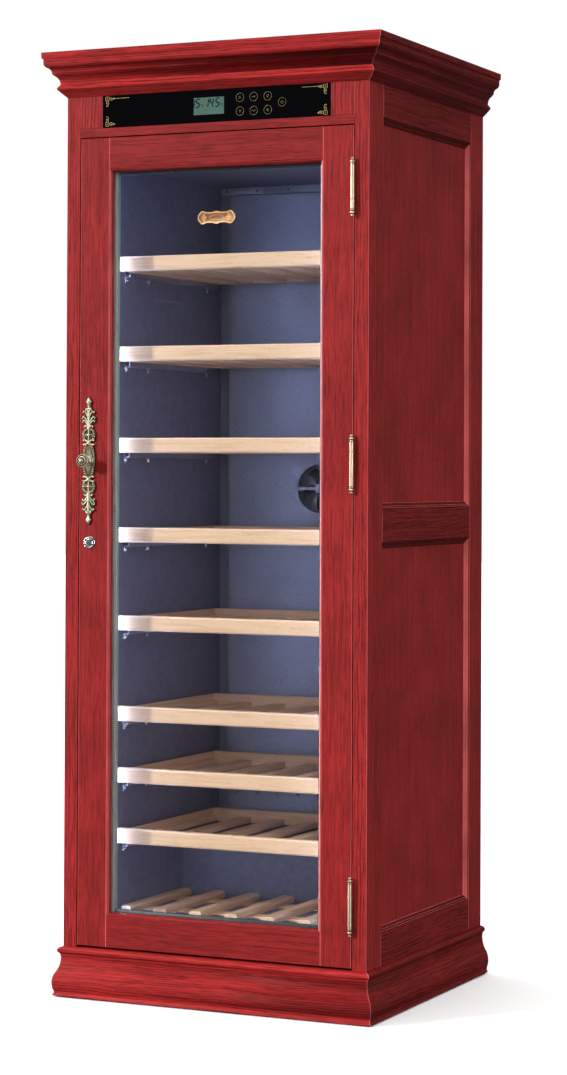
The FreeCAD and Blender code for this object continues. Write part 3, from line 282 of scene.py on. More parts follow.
def perforatedMetal(colour, scale):
    look = spacerLook
    material, tree, shader = startMaterial()
    holes = addNode(tree, "TexVoronoi", {"Vector": stretched(tree, objectCoords(tree), scale),
                                         "Scale": 1.0, "Randomness": 0.0}).outputs["Distance"]
    streaks = noise(tree, stretched(tree, objectCoords(tree), (300.0, 900.0, 20.0)), 1.0, 2.0)
    base = multiplied(tree, ramp(tree, holes, (0.20, grey(0.03)), (0.27, colour)),
                      ramp(tree, streaks, (0.3, grey(0.4)), (0.7, grey(1.0))), 0.25)
    # painted shade on the bar away from the handle side
    paintedShade = mapped(tree, placeAlong(tree, "X"), look["lightEnd"], look["paintedShadeStart"], 0.0,
                   look["paintedShadeShare"])
    setInputs(tree, shader, {"Base Color": mixed(tree, paintedShade, base, look["paintedShade"]),
                             "Roughness": mapped(tree, streaks, 0.3, 0.7, 0.25, 0.40),
                             "Normal": bump(tree, holes, 0.4, 0.0004),
                             "Metallic": look["metallic"]})
    return material


# Clear from the front and a mirror at the rim, slightly smeared.
def clearGlass(tint=(0.985, 0.992, 0.992), mirrorInFront=0.012, mirrorAtRim=0.9):
    material, tree, shader = startMaterial()
    tree.nodes.remove(shader)
    clear = addNode(tree, "BsdfTransparent", {"Color": (*tint, 1.0)})
    smear = noise(tree, objectCoords(tree), 14.0, 2.0)
    mirror = addNode(tree, "BsdfGlossy", {"Color": (1.0, 1.0, 1.0, 1.0),
                                          "Roughness": mapped(tree, smear, 0.3, 0.7, 0.02, 0.05)})
    rim = maths(tree, "POWER", addNode(tree, "LayerWeight", {"Blend": 0.5}).outputs["Facing"], 5.0)
    mix = addNode(tree, "MixShader", {0: mapped(tree, rim, 0.0, 1.0, mirrorInFront, mirrorAtRim),
                                      1: clear.outputs[0], 2: mirror.outputs[0]})
    setInputs(tree, tree.nodes["Material Output"], {"Surface": mix.outputs[0]})
    return material


def litStrip(colour, strength, cover=(0.9, 0.93, 1.0), dots=60.0):
    material, tree, shader = startMaterial()
    spacing = addNode(tree, "TexVoronoi", {"W": placeAlong(tree, "Z"), "Scale": dots,
                                           "Randomness": 0.0}, voronoi_dimensions="1D")
    glow = mapped(tree, spacing.outputs["Distance"], 0.0, 0.5, strength * 1.15, strength * 0.85)
    setInputs(tree, shader, {"Emission Strength": glow, "Emission Color": (*colour, 1.0),
                             "Base Color": (*cover, 1.0), "Roughness": 0.4})
    return material


finishes = {
    # Lit and shaded copies of the stain: front mouldings painted light, sides and rails painted
    # shade.
    "mouldingAcrossLit": stainedWood(0, 0.50, tone=1.38, coat=0.03, mitred=True),
    "mouldingDeepShaded": stainedWood(1, 0.50, tone=0.66, coat=0.0, mitred=True),
    "post": stainedWood(2, 0.48, tone=1.14),
    "railAcrossShaded": stainedWood(0, 0.16, tone=0.86),
    "railDeepShaded": stainedWood(1, 0.50, tone=0.72, coat=0.0),
    "stile": stainedWood(2, 0.10, 0.22, 8.0),
    "sticking": stainedWood(2, 0.15, coat=0.8),
    # shaded copy of the stain: painted shade in the side panels' deep sticking
    "stickingDeepShaded": stainedWood(1, 0.15, tone=0.45, coat=0.0),
    "panel": stainedWood(2, 0.0, 0.26, 8.0, tone=1.08, pore=0.30, streak=0.30),
    # painted highlight along broken edges
    "paintedEdgeHighlight": plainFinish((0.60, 0.105, 0.105), 0.6, grain=300.0, spread=0.25, specular=0.10),
    # painted shade on the sides of the gap round the door
    "gapPaintedShade": plainFinish((0.018, 0.003, 0.003), 0.8, grain=300.0, specular=0.05),
    "beechAcross": beechWood(0),
    "beechDeep": beechWood(1),
    "board": plainFinish((0.30, 0.20, 0.14), 0.7, grain=160.0, squeeze=(0.2, 1.0, 1.0)),
    "backSheet": plainFinish((0.10, 0.10, 0.11), 0.55, grain=900.0, bumpStrength=0.2),
    "liner": plainFinish((0.165, 0.165, 0.245), 0.40, grain=1400.0, bumpStrength=0.15),
    "stucco": embossedMetal((0.33, 0.34, 0.44)),
    "wallRail": embossedMetal((0.52, 0.53, 0.64)),
    "strip": litStrip((0.42, 0.60, 1.0), 34.0),
    "slide": plainFinish((0.56, 0.58, 0.66), 0.30, 1.0, 700.0, 0.10, 0.10, squeeze=(1.0, 0.1, 1.0)),
    "mill": plainFinish((0.66, 0.67, 0.69), 0.36, 1.0, 600.0),
    "foam": plainFinish((0.80, 0.74, 0.52), 0.8, grain=500.0),
    "copper": plainFinish((0.72, 0.34, 0.20), 0.30, 1.0, 400.0),
    "blackSteel": plainFinish((0.025, 0.025, 0.027), 0.35, coat=0.3),
    "blackPlastic": plainFinish((0.03, 0.03, 0.033), 0.5, grain=1500.0, bumpStrength=0.3),
    "whitePlastic": plainFinish((0.78, 0.78, 0.76), 0.5, grain=1500.0),
    "blackGlass": plainFinish((0.0010, 0.0010, 0.0014), 0.05, grain=30.0, bumpStrength=0.01,
                              specular=0.2),
    "displayGlass": plainFinish((0.045, 0.105, 0.080), 0.6, grain=60.0, spread=0.05, specular=0.2),
    "glass": clearGlass(),
    "spacerSide": perforatedMetal((0.50, 0.60, 0.57), (0.0, 250.0, 250.0)),
    "spacerFlat": perforatedMetal((0.62, 0.72, 0.67), (250.0, 0.0, 250.0)),
    "rubber": plainFinish((0.018, 0.018, 0.02), 0.65, grain=900.0),
    "brass": plainFinish((0.56, 0.475, 0.33), 0.32, 0.8, 300.0, 0.04, 0.08),
    "brassShade": plainFinish((0.16, 0.11, 0.045), 0.50, 0.7, 500.0),
    "antiquePlate": antiqueBrass(),
    "antiqueKnob": plainFinish((0.50, 0.46, 0.32), 0.34, 0.6, 500.0, 0.15, 0.25),
    "antiqueShade": plainFinish((0.030, 0.024, 0.013), 0.60, 0.4, 500.0),
    "chrome": plainFinish((0.86, 0.87, 0.88), 0.14, 1.0, 300.0, 0.03, 0.05),
    "chromeShade": plainFinish((0.16, 0.17, 0.18), 0.35, 1.0, 300.0),
    "plaqueGold": plainFinish((0.22, 0.100, 0.032), 0.45, 0.25, 500.0, 0.10, 0.12),
    "plaqueCrest": plainFinish((0.62, 0.335, 0.125), 0.40, 0.25, 500.0, 0.10, 0.08),
    "goldPrint": plainFinish((0.34, 0.22, 0.045), 0.40, 0.2, 400.0),
    "dimPrint": plainFinish((0.150, 0.112, 0.036), 0.45, 0.2, 400.0),
    "ink": plainFinish((0.004, 0.010, 0.030), 0.8, grain=500.0, specular=0.05),
    "screw": plainFinish((0.78, 0.79, 0.82), 0.20, 1.0, 500.0),
    # painted shade in screw recesses, hole floors and slots
    "holePaintedShade": plainFinish((0.004, 0.004, 0.006), 0.8, grain=500.0),
    "floor": plainFinish((0.92, 0.92, 0.92), 0.9, grain=80.0, bumpStrength=0.02, spread=0.01),
}
for finishName, finish in finishes.items():
    finish.name = finishName
print("stage: materials made")


def addObject(name, data):
    made = bpy.data.objects.new(name, data)
    bpy.context.scene.collection.objects.link(made)
    return made


def finishPiece(mesh, name, body, materials, replaced=None, smooth=32.0,
                keepFlats=False):
    bmesh.ops.recalc_face_normals(mesh, faces=mesh.faces)
    data = bpy.data.meshes.new(name)
    mesh.to_mesh(data)
    mesh.free()
    data.shade_smooth()
    data.set_sharp_from_angle(angle=math.radians(smooth))
    for key in materials:
        data.materials.append(finishes[key])
    piece = addObject(name, data)
    if keepFlats:
        piece.modifiers.new("keepFlats", "WEIGHTED_NORMAL").keep_sharp = True
    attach(piece, body)
    if replaced:
        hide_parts(replaced)


def paint(mesh, before, index):
    for face in mesh.faces:
        if face not in before:
            face.material_index = index


def middleOf(nodeName):
    low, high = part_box(nodeName)
    return (Vector(low) + Vector(high)) / 2


def longestAxis(verts):
    spans = [max(vert.co[axis] for vert in verts) - min(vert.co[axis] for vert in verts)
             for axis in range(3)]
    return spans.index(max(spans))


# Merged copy of a CAD node, one shell per solid; with alongGrain each solid's faces are marked
# with its long axis, else all with 0.
def mergedCopy(nodeName, alongGrain=False):
    mesh = bmesh.new()
    mesh.from_mesh(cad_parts[nodeName].data)
    bmesh.ops.remove_doubles(mesh, verts=mesh.verts, dist=1e-6)
    waiting = set(mesh.faces)
    groups = []
    while waiting:
        group = [waiting.pop()]
        for face in group:
            for edge in face.edges:
                if len(edge.link_faces) == 2:
                    near = waiting.intersection(edge.link_faces)
                    waiting -= near
                    group += near
        groups.append(group)
    for group in groups:
        axis = longestAxis([vert for face in group for vert in face.verts])
        for face in group:
            face.material_index = axis if alongGrain else 0
    for group in groups:
        bmesh.ops.split(mesh, geom=group, use_only_faces=True)
    bmesh.ops.dissolve_limit(mesh, angle_limit=math.radians(0.5), use_dissolve_boundaries=False,
                             verts=mesh.verts, edges=mesh.edges, delimit={"MATERIAL"})
    return mesh


def bevelled(mesh, edges, width, segments):
    return bmesh.ops.bevel(mesh, geom=edges, offset=width, offset_type="OFFSET",
                           segments=segments, profile=0.5, material=-1, affect="EDGES",
                           clamp_overlap=True)["faces"]


def breakEdges(mesh, width, segments=2, sharp=25.0, skip=None, minEdge=0.004):
    limit = math.radians(sharp)
    edges = [edge for edge in mesh.edges
             if len(edge.link_faces) == 2 and edge.calc_face_angle(0.0) > limit
             and edge.calc_length() > minEdge and not (skip and skip(edge))]
    return bevelled(mesh, edges, width, segments)


# A CAD node with its sharp edges broken, in its own finish, or in one for each way that its
# solids run. For each face accent may name another finish, a painted highlight or painted shade:
# it is given the face's place and normal, and which way it runs if it is a broken edge.
def softened(nodeName, pieceName, body, materials, width, segments=2, sharp=25.0,
             skip=None, minEdge=0.004, smooth=32.0, reshape=None, accent=None):
    mesh = mergedCopy(nodeName, len(materials) > 1)
    if reshape:
        reshape(mesh)
    rounded = set(breakEdges(mesh, width, segments, sharp, skip, minEdge))
    if accent:
        extra = ("paintedEdgeHighlight", "gapPaintedShade")
        for face in mesh.faces:
            run = longestAxis(face.verts) if face in rounded else None
            key = accent(face.calc_center_median(), face.normal, run)
            if key:
                face.material_index = len(materials) + extra.index(key)
        materials = (*materials, *extra)
    finishPiece(mesh, pieceName, body, materials, nodeName, smooth, True)


def crossDirections(axis):
    axis = Vector(axis).normalized()
    helper = Vector((0.0, 0.0, 1.0)) if abs(axis.z) < 0.9 else Vector((1.0, 0.0, 0.0))
    side = axis.cross(helper).normalized()
    return axis, side, axis.cross(side)


# Turned shape: (radius, distance along the axis) in mm, spun in full. A third value of 1 marks
# the stretch up to that point as a hollow, which takes the second finish.
def addTurning(mesh, profile, centre, axis, steps=40, closed=False, base=0):
    before = set(mesh.faces)
    axis, side, _ = crossDirections(axis)
    centre = Vector(centre)
    corners = [mesh.verts.new(centre + side * point[0] * mm + axis * point[1] * mm)
               for point in profile]
    pairs = list(zip(corners, corners[1:] + corners[:1]))
    edges = [mesh.edges.new(pair) for pair in (pairs if closed else pairs[:-1])]
    bmesh.ops.spin(mesh, geom=corners + edges, cent=centre, axis=axis, angle=math.tau,
                   steps=steps, use_merge=True)
    made = [face for face in mesh.faces if face not in before]
    hollows = [((a[0] + b[0]) / 2, (a[1] + b[1]) / 2) for a, b in zip(profile, profile[1:])
               if len(b) > 2]
    for face in made:
        offset = (face.calc_center_median() - centre) / mm
        along = offset.dot(axis)
        out = (offset - axis * along).length
        hit = any(abs(out - r) + abs(along - a) < 0.12 + 0.02 * r for r, a in hollows)
        face.material_index = base + (1 if hit else 0)
    verts = list({vert for face in made for vert in face.verts})
    bmesh.ops.remove_doubles(mesh, verts=verts, dist=1e-6)


def addBlock(mesh, low, high, bevelWidth=0.0, segments=2, place=None):
    low, high = Vector(low), Vector(high)
    matrix = Matrix.Translation((low + high) / 2) @ Matrix.Diagonal((*(high - low), 1.0))
    made = bmesh.ops.create_cube(mesh, size=1.0, matrix=(place or Matrix()) @ matrix)
    if bevelWidth > 0.0:
        edges = list({edge for vert in made["verts"] for edge in vert.link_edges})
        bevelled(mesh, edges, bevelWidth, segments)


# The same with its corners in mm from a place, which may be turned.
def addBlockAt(mesh, place, low, high, bevelWidth=0.0, segments=2):
    if not isinstance(place, Matrix):
        place = Matrix.Translation(place)
    addBlock(mesh, Vector(low) * mm, Vector(high) * mm, bevelWidth, segments, place)


def addBead(mesh, centre, radius, squash=(1.0, 1.0, 1.0), turn=0.0):
    bmesh.ops.create_icosphere(mesh, subdivisions=2, radius=radius,
                               matrix=Matrix.Translation(centre) @ Matrix.Rotation(turn, 4, "Y")
                               @ Matrix.Diagonal((*squash, 1.0)))


# Round strand along a line of points; a fourth value makes it thicker or thinner there.
def addStrand(mesh, points, radius, order=3, closed=False, resolution=5):
    data = bpy.data.curves.new("strand", "CURVE")
    data.dimensions = "3D"
    data.bevel_depth = radius
    data.bevel_resolution = 2
    data.resolution_u = resolution
    data.use_fill_caps = True
    spline = data.splines.new("NURBS")
    spline.points.add(len(points) - 1)
    for target, point in zip(spline.points, points):
        target.co = (*point[:3], 1.0)
        target.radius = point[3] if len(point) > 3 else 1.0
    spline.order_u = order
    spline.use_endpoint_u = not closed
    spline.use_cyclic_u = closed
    helper = bpy.data.objects.new("strand", data)
    made = bpy.data.meshes.new_from_object(helper)
    mesh.from_mesh(made)
    bpy.data.objects.remove(helper)
    bpy.data.meshes.remove(made)
    bpy.data.curves.remove(data)


# Points round a circle or an oval: across and up from its middle.
def roundPoints(count, across, up=None):
    turns = [math.tau * step / count for step in range(count)]
    return [(across * math.cos(turn), (up or across) * math.sin(turn)) for turn in turns]


# Press what was added since towards a plane across Y, as a print or a low relief.
def flatten(mesh, before, plane, amount):
    for vert in mesh.verts:
        if vert not in before:
            vert.co.y = plane + (vert.co.y - plane) * amount


# Domed screw head with its cross recess as a cross in painted shade, its axis out of the surface
# that it holds.
def addScrew(mesh, centre, axis, radius, dome, base=0):
    addTurning(mesh, [(radius, 0.0), (radius, 0.35 * dome), (0.72 * radius, 0.85 * dome),
                      (0.0, dome)], centre, axis, 16, base=base)
    axis, side, other = crossDirections(axis)
    place = Matrix.Translation(centre) @ Matrix((side, other, axis)).transposed().to_4x4()
    before = set(mesh.faces)
    reach, half, top = 0.55 * radius, 0.09 * radius, dome + 0.05
    addBlockAt(mesh, place, (-reach, -half, 0.0), (reach, half, top))
    addBlockAt(mesh, place, (-half, -reach, 0.0), (half, reach, top))
    paint(mesh, before, base + 1)


view = {"place": (2.5342, -5.4460, 1.1184), "right": (0.904842, 0.425727, 0.004237),
        "up": (0.002226, -0.014682, 0.99989), "sensor": 36.0, "lens": 92.68, "shiftX": 0.0189,
        "shiftY": -0.1003, "farEnd": 60.0, "floorHalf": 26.0}
cameraData = bpy.data.cameras.new("camera")
cameraData.sensor_fit = "VERTICAL"
cameraData.sensor_height = view["sensor"]
cameraData.lens = view["lens"]
cameraData.shift_x = view["shiftX"]
cameraData.shift_y = view["shiftY"]
cameraData.clip_end = view["farEnd"]
camera = addObject("camera", cameraData)
right, up = Vector(view["right"]), Vector(view["up"])
camera.matrix_world = Matrix.Translation(view["place"]) @ Matrix(
    (right, up, right.cross(up))).transposed().to_4x4()
bpy.context.scene.camera = camera

floorMesh = bmesh.new()
bmesh.ops.create_grid(floorMesh, x_segments=4, y_segments=4, size=view["floorHalf"])
floorData = bpy.data.meshes.new("floor")
floorMesh.to_mesh(floorData)
floorMesh.free()
floorData.materials.append(finishes["floor"])
floor = addObject("floor", floorData)
floor.visible_diffuse = False
floor.visible_glossy = False

# White behind the object; the light on it comes softly from above and the sides, little from
# below, and reflections show a dark room.
studio = {"backdrop": 1.0, "above": 1.25, "below": 0.18, "reflected": 0.10}
world = bpy.data.worlds.new("studio")
world.use_nodes = True
tree = world.node_tree
rays = addNode(tree, "LightPath").outputs
height = addNode(tree, "SeparateXYZ",
                 {"Vector": addNode(tree, "TexCoord").outputs["Generated"]}).outputs["Z"]
level = addNode(tree, "Mix", {0: rays["Is Glossy Ray"], 3: studio["reflected"],
                              2: mapped(tree, height, -0.3, 0.3, studio["below"],
                                        studio["above"])}, data_type="FLOAT").outputs[0]
strength = addNode(tree, "Mix", {0: rays["Is Camera Ray"], 2: level, 3: studio["backdrop"]},
                   data_type="FLOAT").outputs[0]
setInputs(tree, tree.nodes["Background"], {"Color": (1.0, 1.0, 1.0, 1.0), "Strength": strength})
bpy.context.scene.world = world
bpy.context.scene.view_settings.view_transform = "Standard"

lamps = [
    {"name": "key", "kind": "SUN", "towards": (0.64, 0.70, -0.34), "power": 3.0, "angle": 7.0},
    {"name": "overhead", "kind": "SUN", "towards": (0.05, 0.1, -1.0), "power": 1.05, "angle": 50.0},
    {"name": "leftStrip", "kind": "AREA", "towards": (1.0, 0.05, 0.0), "power": 120.0,
     "place": (-3.4, -0.5, 1.1), "size": (0.5, 3.2)},
    {"name": "rightStrip", "kind": "AREA", "towards": (-0.72, 0.69, 0.0), "power": 120.0,
     "place": (3.4, -3.1, 1.1), "size": (0.5, 3.2)},
]
for lamp in lamps:
    lampData = bpy.data.lights.new(lamp["name"], lamp["kind"])
    lampData.energy = lamp["power"]
    if lamp["kind"] == "SUN":
        lampData.angle = math.radians(lamp["angle"])
    else:
        lampData.shape = "RECTANGLE"
        lampData.size, lampData.size_y = lamp["size"]
    lampObject = addObject(lamp["name"], lampData)
    turn = Vector(lamp["towards"]).to_track_quat("-Z", "Y").to_matrix().to_4x4()
    lampObject.matrix_world = Matrix.Translation(lamp.get("place", (0.0, 0.0, 6.0))) @ turn
    lampObject.visible_camera = False
    lampObject.visible_diffuse = lamp["kind"] == "SUN"
print("stage: camera and light set")


def onMitre(edge):
    return all(abs((abs(vert.co.x) - cornerX) - (frontY - vert.co.y)) < 2e-5
               for vert in edge.verts)


# Painted highlight on broken edges, and painted shade on the sides of the gap round the door.
# The highlight reach is how far from a corner a highlit edge lies; the door's own edges take
# painted shade over and under two heights.
paintedLightPlaces = {"highlightReach": 0.004, "openingHalf": 0.3175, "openingTop": 1.85, "doorLow": 0.2, "doorHigh": 1.7,
        "sideFront": -0.262, "sideBack": 0.34, "rearSticking": 0.2}


# Painted highlight on the face frame's upright edges near its corners and above the opening, painted
# shade in the door gap.
def frontAccent(spot, normal, run):
    onFace = run == 2 and spot.y < frontY + paintedLightPlaces["highlightReach"]
    if onFace and (abs(spot.x) > cornerX - paintedLightPlaces["highlightReach"] or spot.z > paintedLightPlaces["openingTop"]):
        return "paintedEdgeHighlight"
    inOpening = abs(spot.x) < paintedLightPlaces["openingHalf"] and spot.z < paintedLightPlaces["openingTop"]
    if run is None and inOpening and abs(normal.y) < 0.5:
        return "gapPaintedShade"


# Painted highlight on the door's upright front edges, painted shade on its edges in the gap.
def doorAccent(spot, normal, run):
    if run == 2 and spot.y < frontY + paintedLightPlaces["highlightReach"]:
        return "paintedEdgeHighlight"
    atSide = abs(spot.x) > paintedLightPlaces["openingHalf"] - paintedLightPlaces["highlightReach"] and abs(normal.x) > 0.5
    atEnd = not paintedLightPlaces["doorLow"] < spot.z < paintedLightPlaces["doorHigh"] and abs(normal.z) > 0.5
    if run is None and (atSide or atEnd):
        return "gapPaintedShade"


# Painted highlight on the side frames' upright edges.
def sideAccent(spot, normal, run):
    return "paintedEdgeHighlight" if run == 2 and paintedLightPlaces["sideFront"] < spot.y < paintedLightPlaces["sideBack"] else None


# Painted highlight on the rear sticking's upright edges and forward faces, and on the upward edges
# of the deep pieces.
def stickingAccent(spot, normal, run):
    atRear = spot.y > paintedLightPlaces["rearSticking"] and (run == 2 or normal.y < -0.3)
    return "paintedEdgeHighlight" if atRear or run == 1 and normal.z > 0.5 else None


# Painted highlight on the beads' upright edges.
def beadAccent(spot, normal, run):
    return "paintedEdgeHighlight" if run == 2 else None


# Finishes for solids that run across, deep and upright, in that order; the lit and shaded copies
# of the stain among them are painted light and painted shade.
mouldings = ("mouldingAcrossLit", "mouldingDeepShaded")
frames = ("railAcrossShaded", "railDeepShaded", "stile")
softened("cornice", "corniceMoulding", "cabinet", mouldings, 0.0008, 2, 22.0,
         skip=onMitre, smooth=40.0)
softened("plinth", "plinthMoulding", "cabinet", mouldings, 0.0010, 2, 22.0,
         skip=onMitre, smooth=40.0)
softened("face_frame", "caseFrontFrame", "cabinet",
         ("railAcrossShaded", "railDeepShaded", "post"), 0.0008, accent=frontAccent)
softened("side_frames", "caseSideFrames", "cabinet", frames, 0.0008,
         accent=sideAccent)
softened("side_panels", "caseSidePanels", "cabinet", ("panel",), 0.0005, 1)
softened("panel_mouldings", "sidePanelSticking", "cabinet",
         ("mouldingAcrossLit", "stickingDeepShaded", "sticking"), 0.0012, 2, 20.0, minEdge=0.03,
         smooth=45.0, accent=stickingAccent)
softened("door_frame", "doorFrameMembers", "door", frames, 0.0010,
         accent=doorAccent)
softened("glazing_beads", "doorGlazingBeads", "door",
         ("railAcrossShaded", "railDeepShaded", "sticking"), 0.0006, 2, 20.0, minEdge=0.03, smooth=45.0,
         accent=beadAccent)
softened("top_board", "caseTopBoard", "cabinet", ("railAcrossShaded",), 0.0010)

# The front strip of a rack reaches past its sides, over the slides, nearly to the walls.
rack = {"frontHalf": 0.2615}


def widenFront(mesh):
    strip = [min(mesh.verts, key=lambda vert: vert.co.y)]
    for vert in strip:
        strip += {other for edge in vert.link_edges for other in edge.verts} - set(strip)
    for vert in strip:
        vert.co.x = math.copysign(rack["frontHalf"], vert.co.x)


for number in rackNumbers:
    softened("rack_%d" % number, "rackTimber_%d" % number, "shelf_%d" % number,
             ("beechAcross", "beechDeep"), 0.0008, reshape=widenFront)
softened("bottle_cradle", "floorCradleTimber", "cabinet", ("beechDeep",), 0.0012)
print("stage: timber softened")

softened("control_fascia", "controlFascia", "cabinet", ("blackGlass",), 0.0005)
softened("duct_cover", "ductCover", "cabinet", ("stucco",), 0.0004, 1)
softened("door_gasket", "doorGasket", "door", ("rubber",), 0.0024, 3)
softened("lock_plug", "lockPlug", "lock", ("chrome",), 0.0003, minEdge=0.001)
softened("handle_plate", "handlePlate", "door", ("antiquePlate",), 0.0007,
         minEdge=0.002)

spacerBars = mergedCopy("glass_spacer")
for face in spacerBars.faces:
    face.material_index = 0 if abs(face.normal.x) > 0.5 else 1
breakEdges(spacerBars, 0.0006)
finishPiece(spacerBars, "glassSpacer", "door", ("spacerSide", "spacerFlat"),
            "glass_spacer")

# The back sheet's screws stand in a face that is set in by their own height. Places in metres,
# the screws' radius and dome in mm.
backScrews = {"radius": 4.2, "dome": 0.5, "setIn": 0.0006, "across": (-0.312, 0.0, 0.312),
              "heights": (0.34, 0.74, 1.14, 1.54, 1.94)}
backSheet = mergedCopy("back_panel")
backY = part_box("back_panel")[1].y
screwY = backY - backScrews["setIn"]
for vert in backSheet.verts:
    if vert.co.y > backY - 1e-4:
        vert.co.y = screwY
breakEdges(backSheet, 0.0006)
for x in backScrews["across"]:
    for z in backScrews["heights"]:
        if x or z in (backScrews["heights"][0], backScrews["heights"][-1]):
            addScrew(backSheet, (x, screwY, z), (0, 1, 0), backScrews["radius"],
                     backScrews["dome"], 1)
sheetFinishes = ("backSheet", "screw", "holePaintedShade")
finishPiece(backSheet, "backPanel", "cabinet", sheetFinishes, "back_panel")

grilleScrews = {"radius": 3.6, "dome": 1.8, "across": (-0.316, -0.11, 0.11, 0.316),
                "heights": (0.116, 0.296)}
grille = mergedCopy("rear_grille")
breakEdges(grille, 0.0003, 1)
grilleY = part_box("rear_grille")[1].y
for x in grilleScrews["across"]:
    for z in grilleScrews["heights"]:
        addScrew(grille, (x, grilleY, z), (0, 1, 0), grilleScrews["radius"],
                 grilleScrews["dome"], 1)
finishPiece(grille, "rearGrille", "cabinet", sheetFinishes, "rear_grille")
print("stage: sheets and screws")

# Finial hinges: radius and height in mm from the hinge's foot. The case carries both end
# knuckles with their finials, the door the long middle knuckle. The leaves' corners are in mm
# from the frame's origin across and deep, and from the hinge's foot upwards.
hinge = {"feet": (0.177, 1.0698, 1.631), "length": 119.0, "pinDepth": 0.0045,
         "end": [(0.0, 0.0), (2.6, 0.0), (3.7, 1.1), (3.7, 2.3), (2.7, 3.4), (2.0, 4.2, 1),
                 (2.5, 5.0, 1), (4.8, 6.7), (5.0, 8.2), (4.4, 9.6), (3.3, 10.5, 1),
                 (3.5, 11.4, 1), (4.3, 12.0), (4.4, 13.2), (3.9, 13.7, 1), (3.9, 14.5, 1),
                 (4.45, 15.0), (4.45, 33.9), (4.0, 34.5), (0.0, 34.5)],
         "middle": [(0.0, 34.8), (4.0, 34.8), (4.45, 35.4), (4.45, 83.6), (4.0, 84.2),
                    (0.0, 84.2)],
         "caseLeaf": ((316.15, -306.65, 12.0), (317.0, -286.0, 107.0)),
         "caseTabs": [((316.15, -309.5, 12.0), (317.0, -306.65, 34.5)),
                      ((316.15, -309.5, 84.5), (317.0, -306.65, 107.0))],
         "doorLeaf": ((315.0, -312.0, 34.8), (315.85, -286.0, 84.2)),
         "caseScrews": [(316.15, -294.5, 20.0), (316.15, -294.5, 59.5), (316.15, -294.5, 99.0)],
         "doorScrews": [(315.85, -296.0, 42.0), (315.85, -296.0, 52.0), (315.85, -296.0, 77.0)],
         "screw": (2.9, 0.1)}
hingeLow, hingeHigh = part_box("hinge_frame_leaves")
hingeX, hingeY = (hingeLow.x + hingeHigh.x) / 2, hingeLow.y + hinge["pinDepth"]
upperEnd = [(point[0], hinge["length"] - point[1], *point[2:]) for point in hinge["end"]]
caseHinges, doorHinges = bmesh.new(), bmesh.new()
for foot in hinge["feet"]:
    for mesh, profile in ((caseHinges, hinge["end"]), (caseHinges, upperEnd),
                          (doorHinges, hinge["middle"])):
        addTurning(mesh, profile, (hingeX, hingeY, foot), (0, 0, 1), 32)
    footPlace = Vector((0.0, 0.0, foot))
    addBlockAt(caseHinges, footPlace, *hinge["caseLeaf"], 0.0001, 1)
    addBlockAt(doorHinges, footPlace, *hinge["doorLeaf"], 0.0001, 1)
    for tab in hinge["caseTabs"]:
        addBlockAt(caseHinges, footPlace, *tab)
    for mesh, places, outward in ((caseHinges, hinge["caseScrews"], -1),
                                  (doorHinges, hinge["doorScrews"], 1)):
        for place in places:
            addScrew(mesh, footPlace + Vector(place) * mm, (outward, 0, 0), *hinge["screw"], 1)
brasses = ("brass", "brassShade", "holePaintedShade")
finishPiece(caseHinges, "caseHingeHalves", "cabinet", brasses,
            "hinge_frame_leaves")
finishPiece(doorHinges, "doorHingeHalves", "door", brasses, "hinge_door_leaves")

# Relief on the openwork handle plate. Places in mm across and up from the plate's middle, and
# in the end spray from the pierced round outwards; both ends and both sides are alike. A third
# value is how far the strand stands out, and a fourth how thick it is there.
handle = {"field": (10.4, 1.2, 33.5), "rim": (11.4, 35.0), "gadroon": (13.4, 38.2),
          "gadroonPitch": 3.9, "gadroonsEachWay": 8, "knot": 38.6, "round": 54.3,
          "cross": [(-11.0, -5.0, 0.6), (-5.0, -4.0, 1.4), (0.0, 0.0, 2.0), (5.0, 4.0, 1.4),
                    (11.0, 5.0, 0.6)],
          "ring": 12.6, "ringBeads": 14.5, "hole": (7.2, 7.6),
          "stem": [(13.0, 0.8, 1.3), (28.0, 1.6, 1.0), (44.0, 1.2, 0.8), (56.0, 0.6, 0.6)],
          "stemBeads": 7,
          "fingers": [[(0.8, 15.0), (4.0, 19.0), (8.0, 19.4), (9.9, 17.2)],
                      [(0.8, 19.0), (5.0, 26.0), (10.5, 31.2), (14.0, 30.0), (13.9, 27.6)],
                      [(0.8, 26.0), (5.5, 33.0), (11.5, 39.0), (14.8, 38.0), (14.6, 35.4)],
                      [(0.8, 34.0), (2.6, 42.0), (8.0, 49.2), (12.6, 50.6), (13.2, 48.0)],
                      [(0.6, 43.0), (1.2, 50.0), (3.6, 56.6), (6.4, 55.6), (6.0, 52.6)]],
          "crown": [(0.0, 55.0), (4.4, 55.0), (4.6, 56.4), (3.4, 57.6, 1), (3.0, 60.0),
                    (3.3, 63.0), (4.6, 67.4), (6.6, 70.2), (6.8, 71.6), (5.4, 72.6),
                    (5.2, 73.4, 1), (2.6, 78.4), (0.0, 81.4)]}
grip = middleOf("handle_plate")
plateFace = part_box("handle_plate")[0].y
relief = bmesh.new()


def onPlate(across, height, lift=0.0, *thickness):
    return (grip.x + across * mm, plateFace - lift * mm, grip.z + height * mm, *thickness)


def plateStrand(points, radius, closed=False):
    addStrand(relief, [onPlate(*point) for point in points], radius * mm, closed=closed)


def plateBead(place, radius, squash=(1.0, 1.0, 1.0), turn=0.0):
    addBead(relief, onPlate(*place), radius * mm, squash, turn)


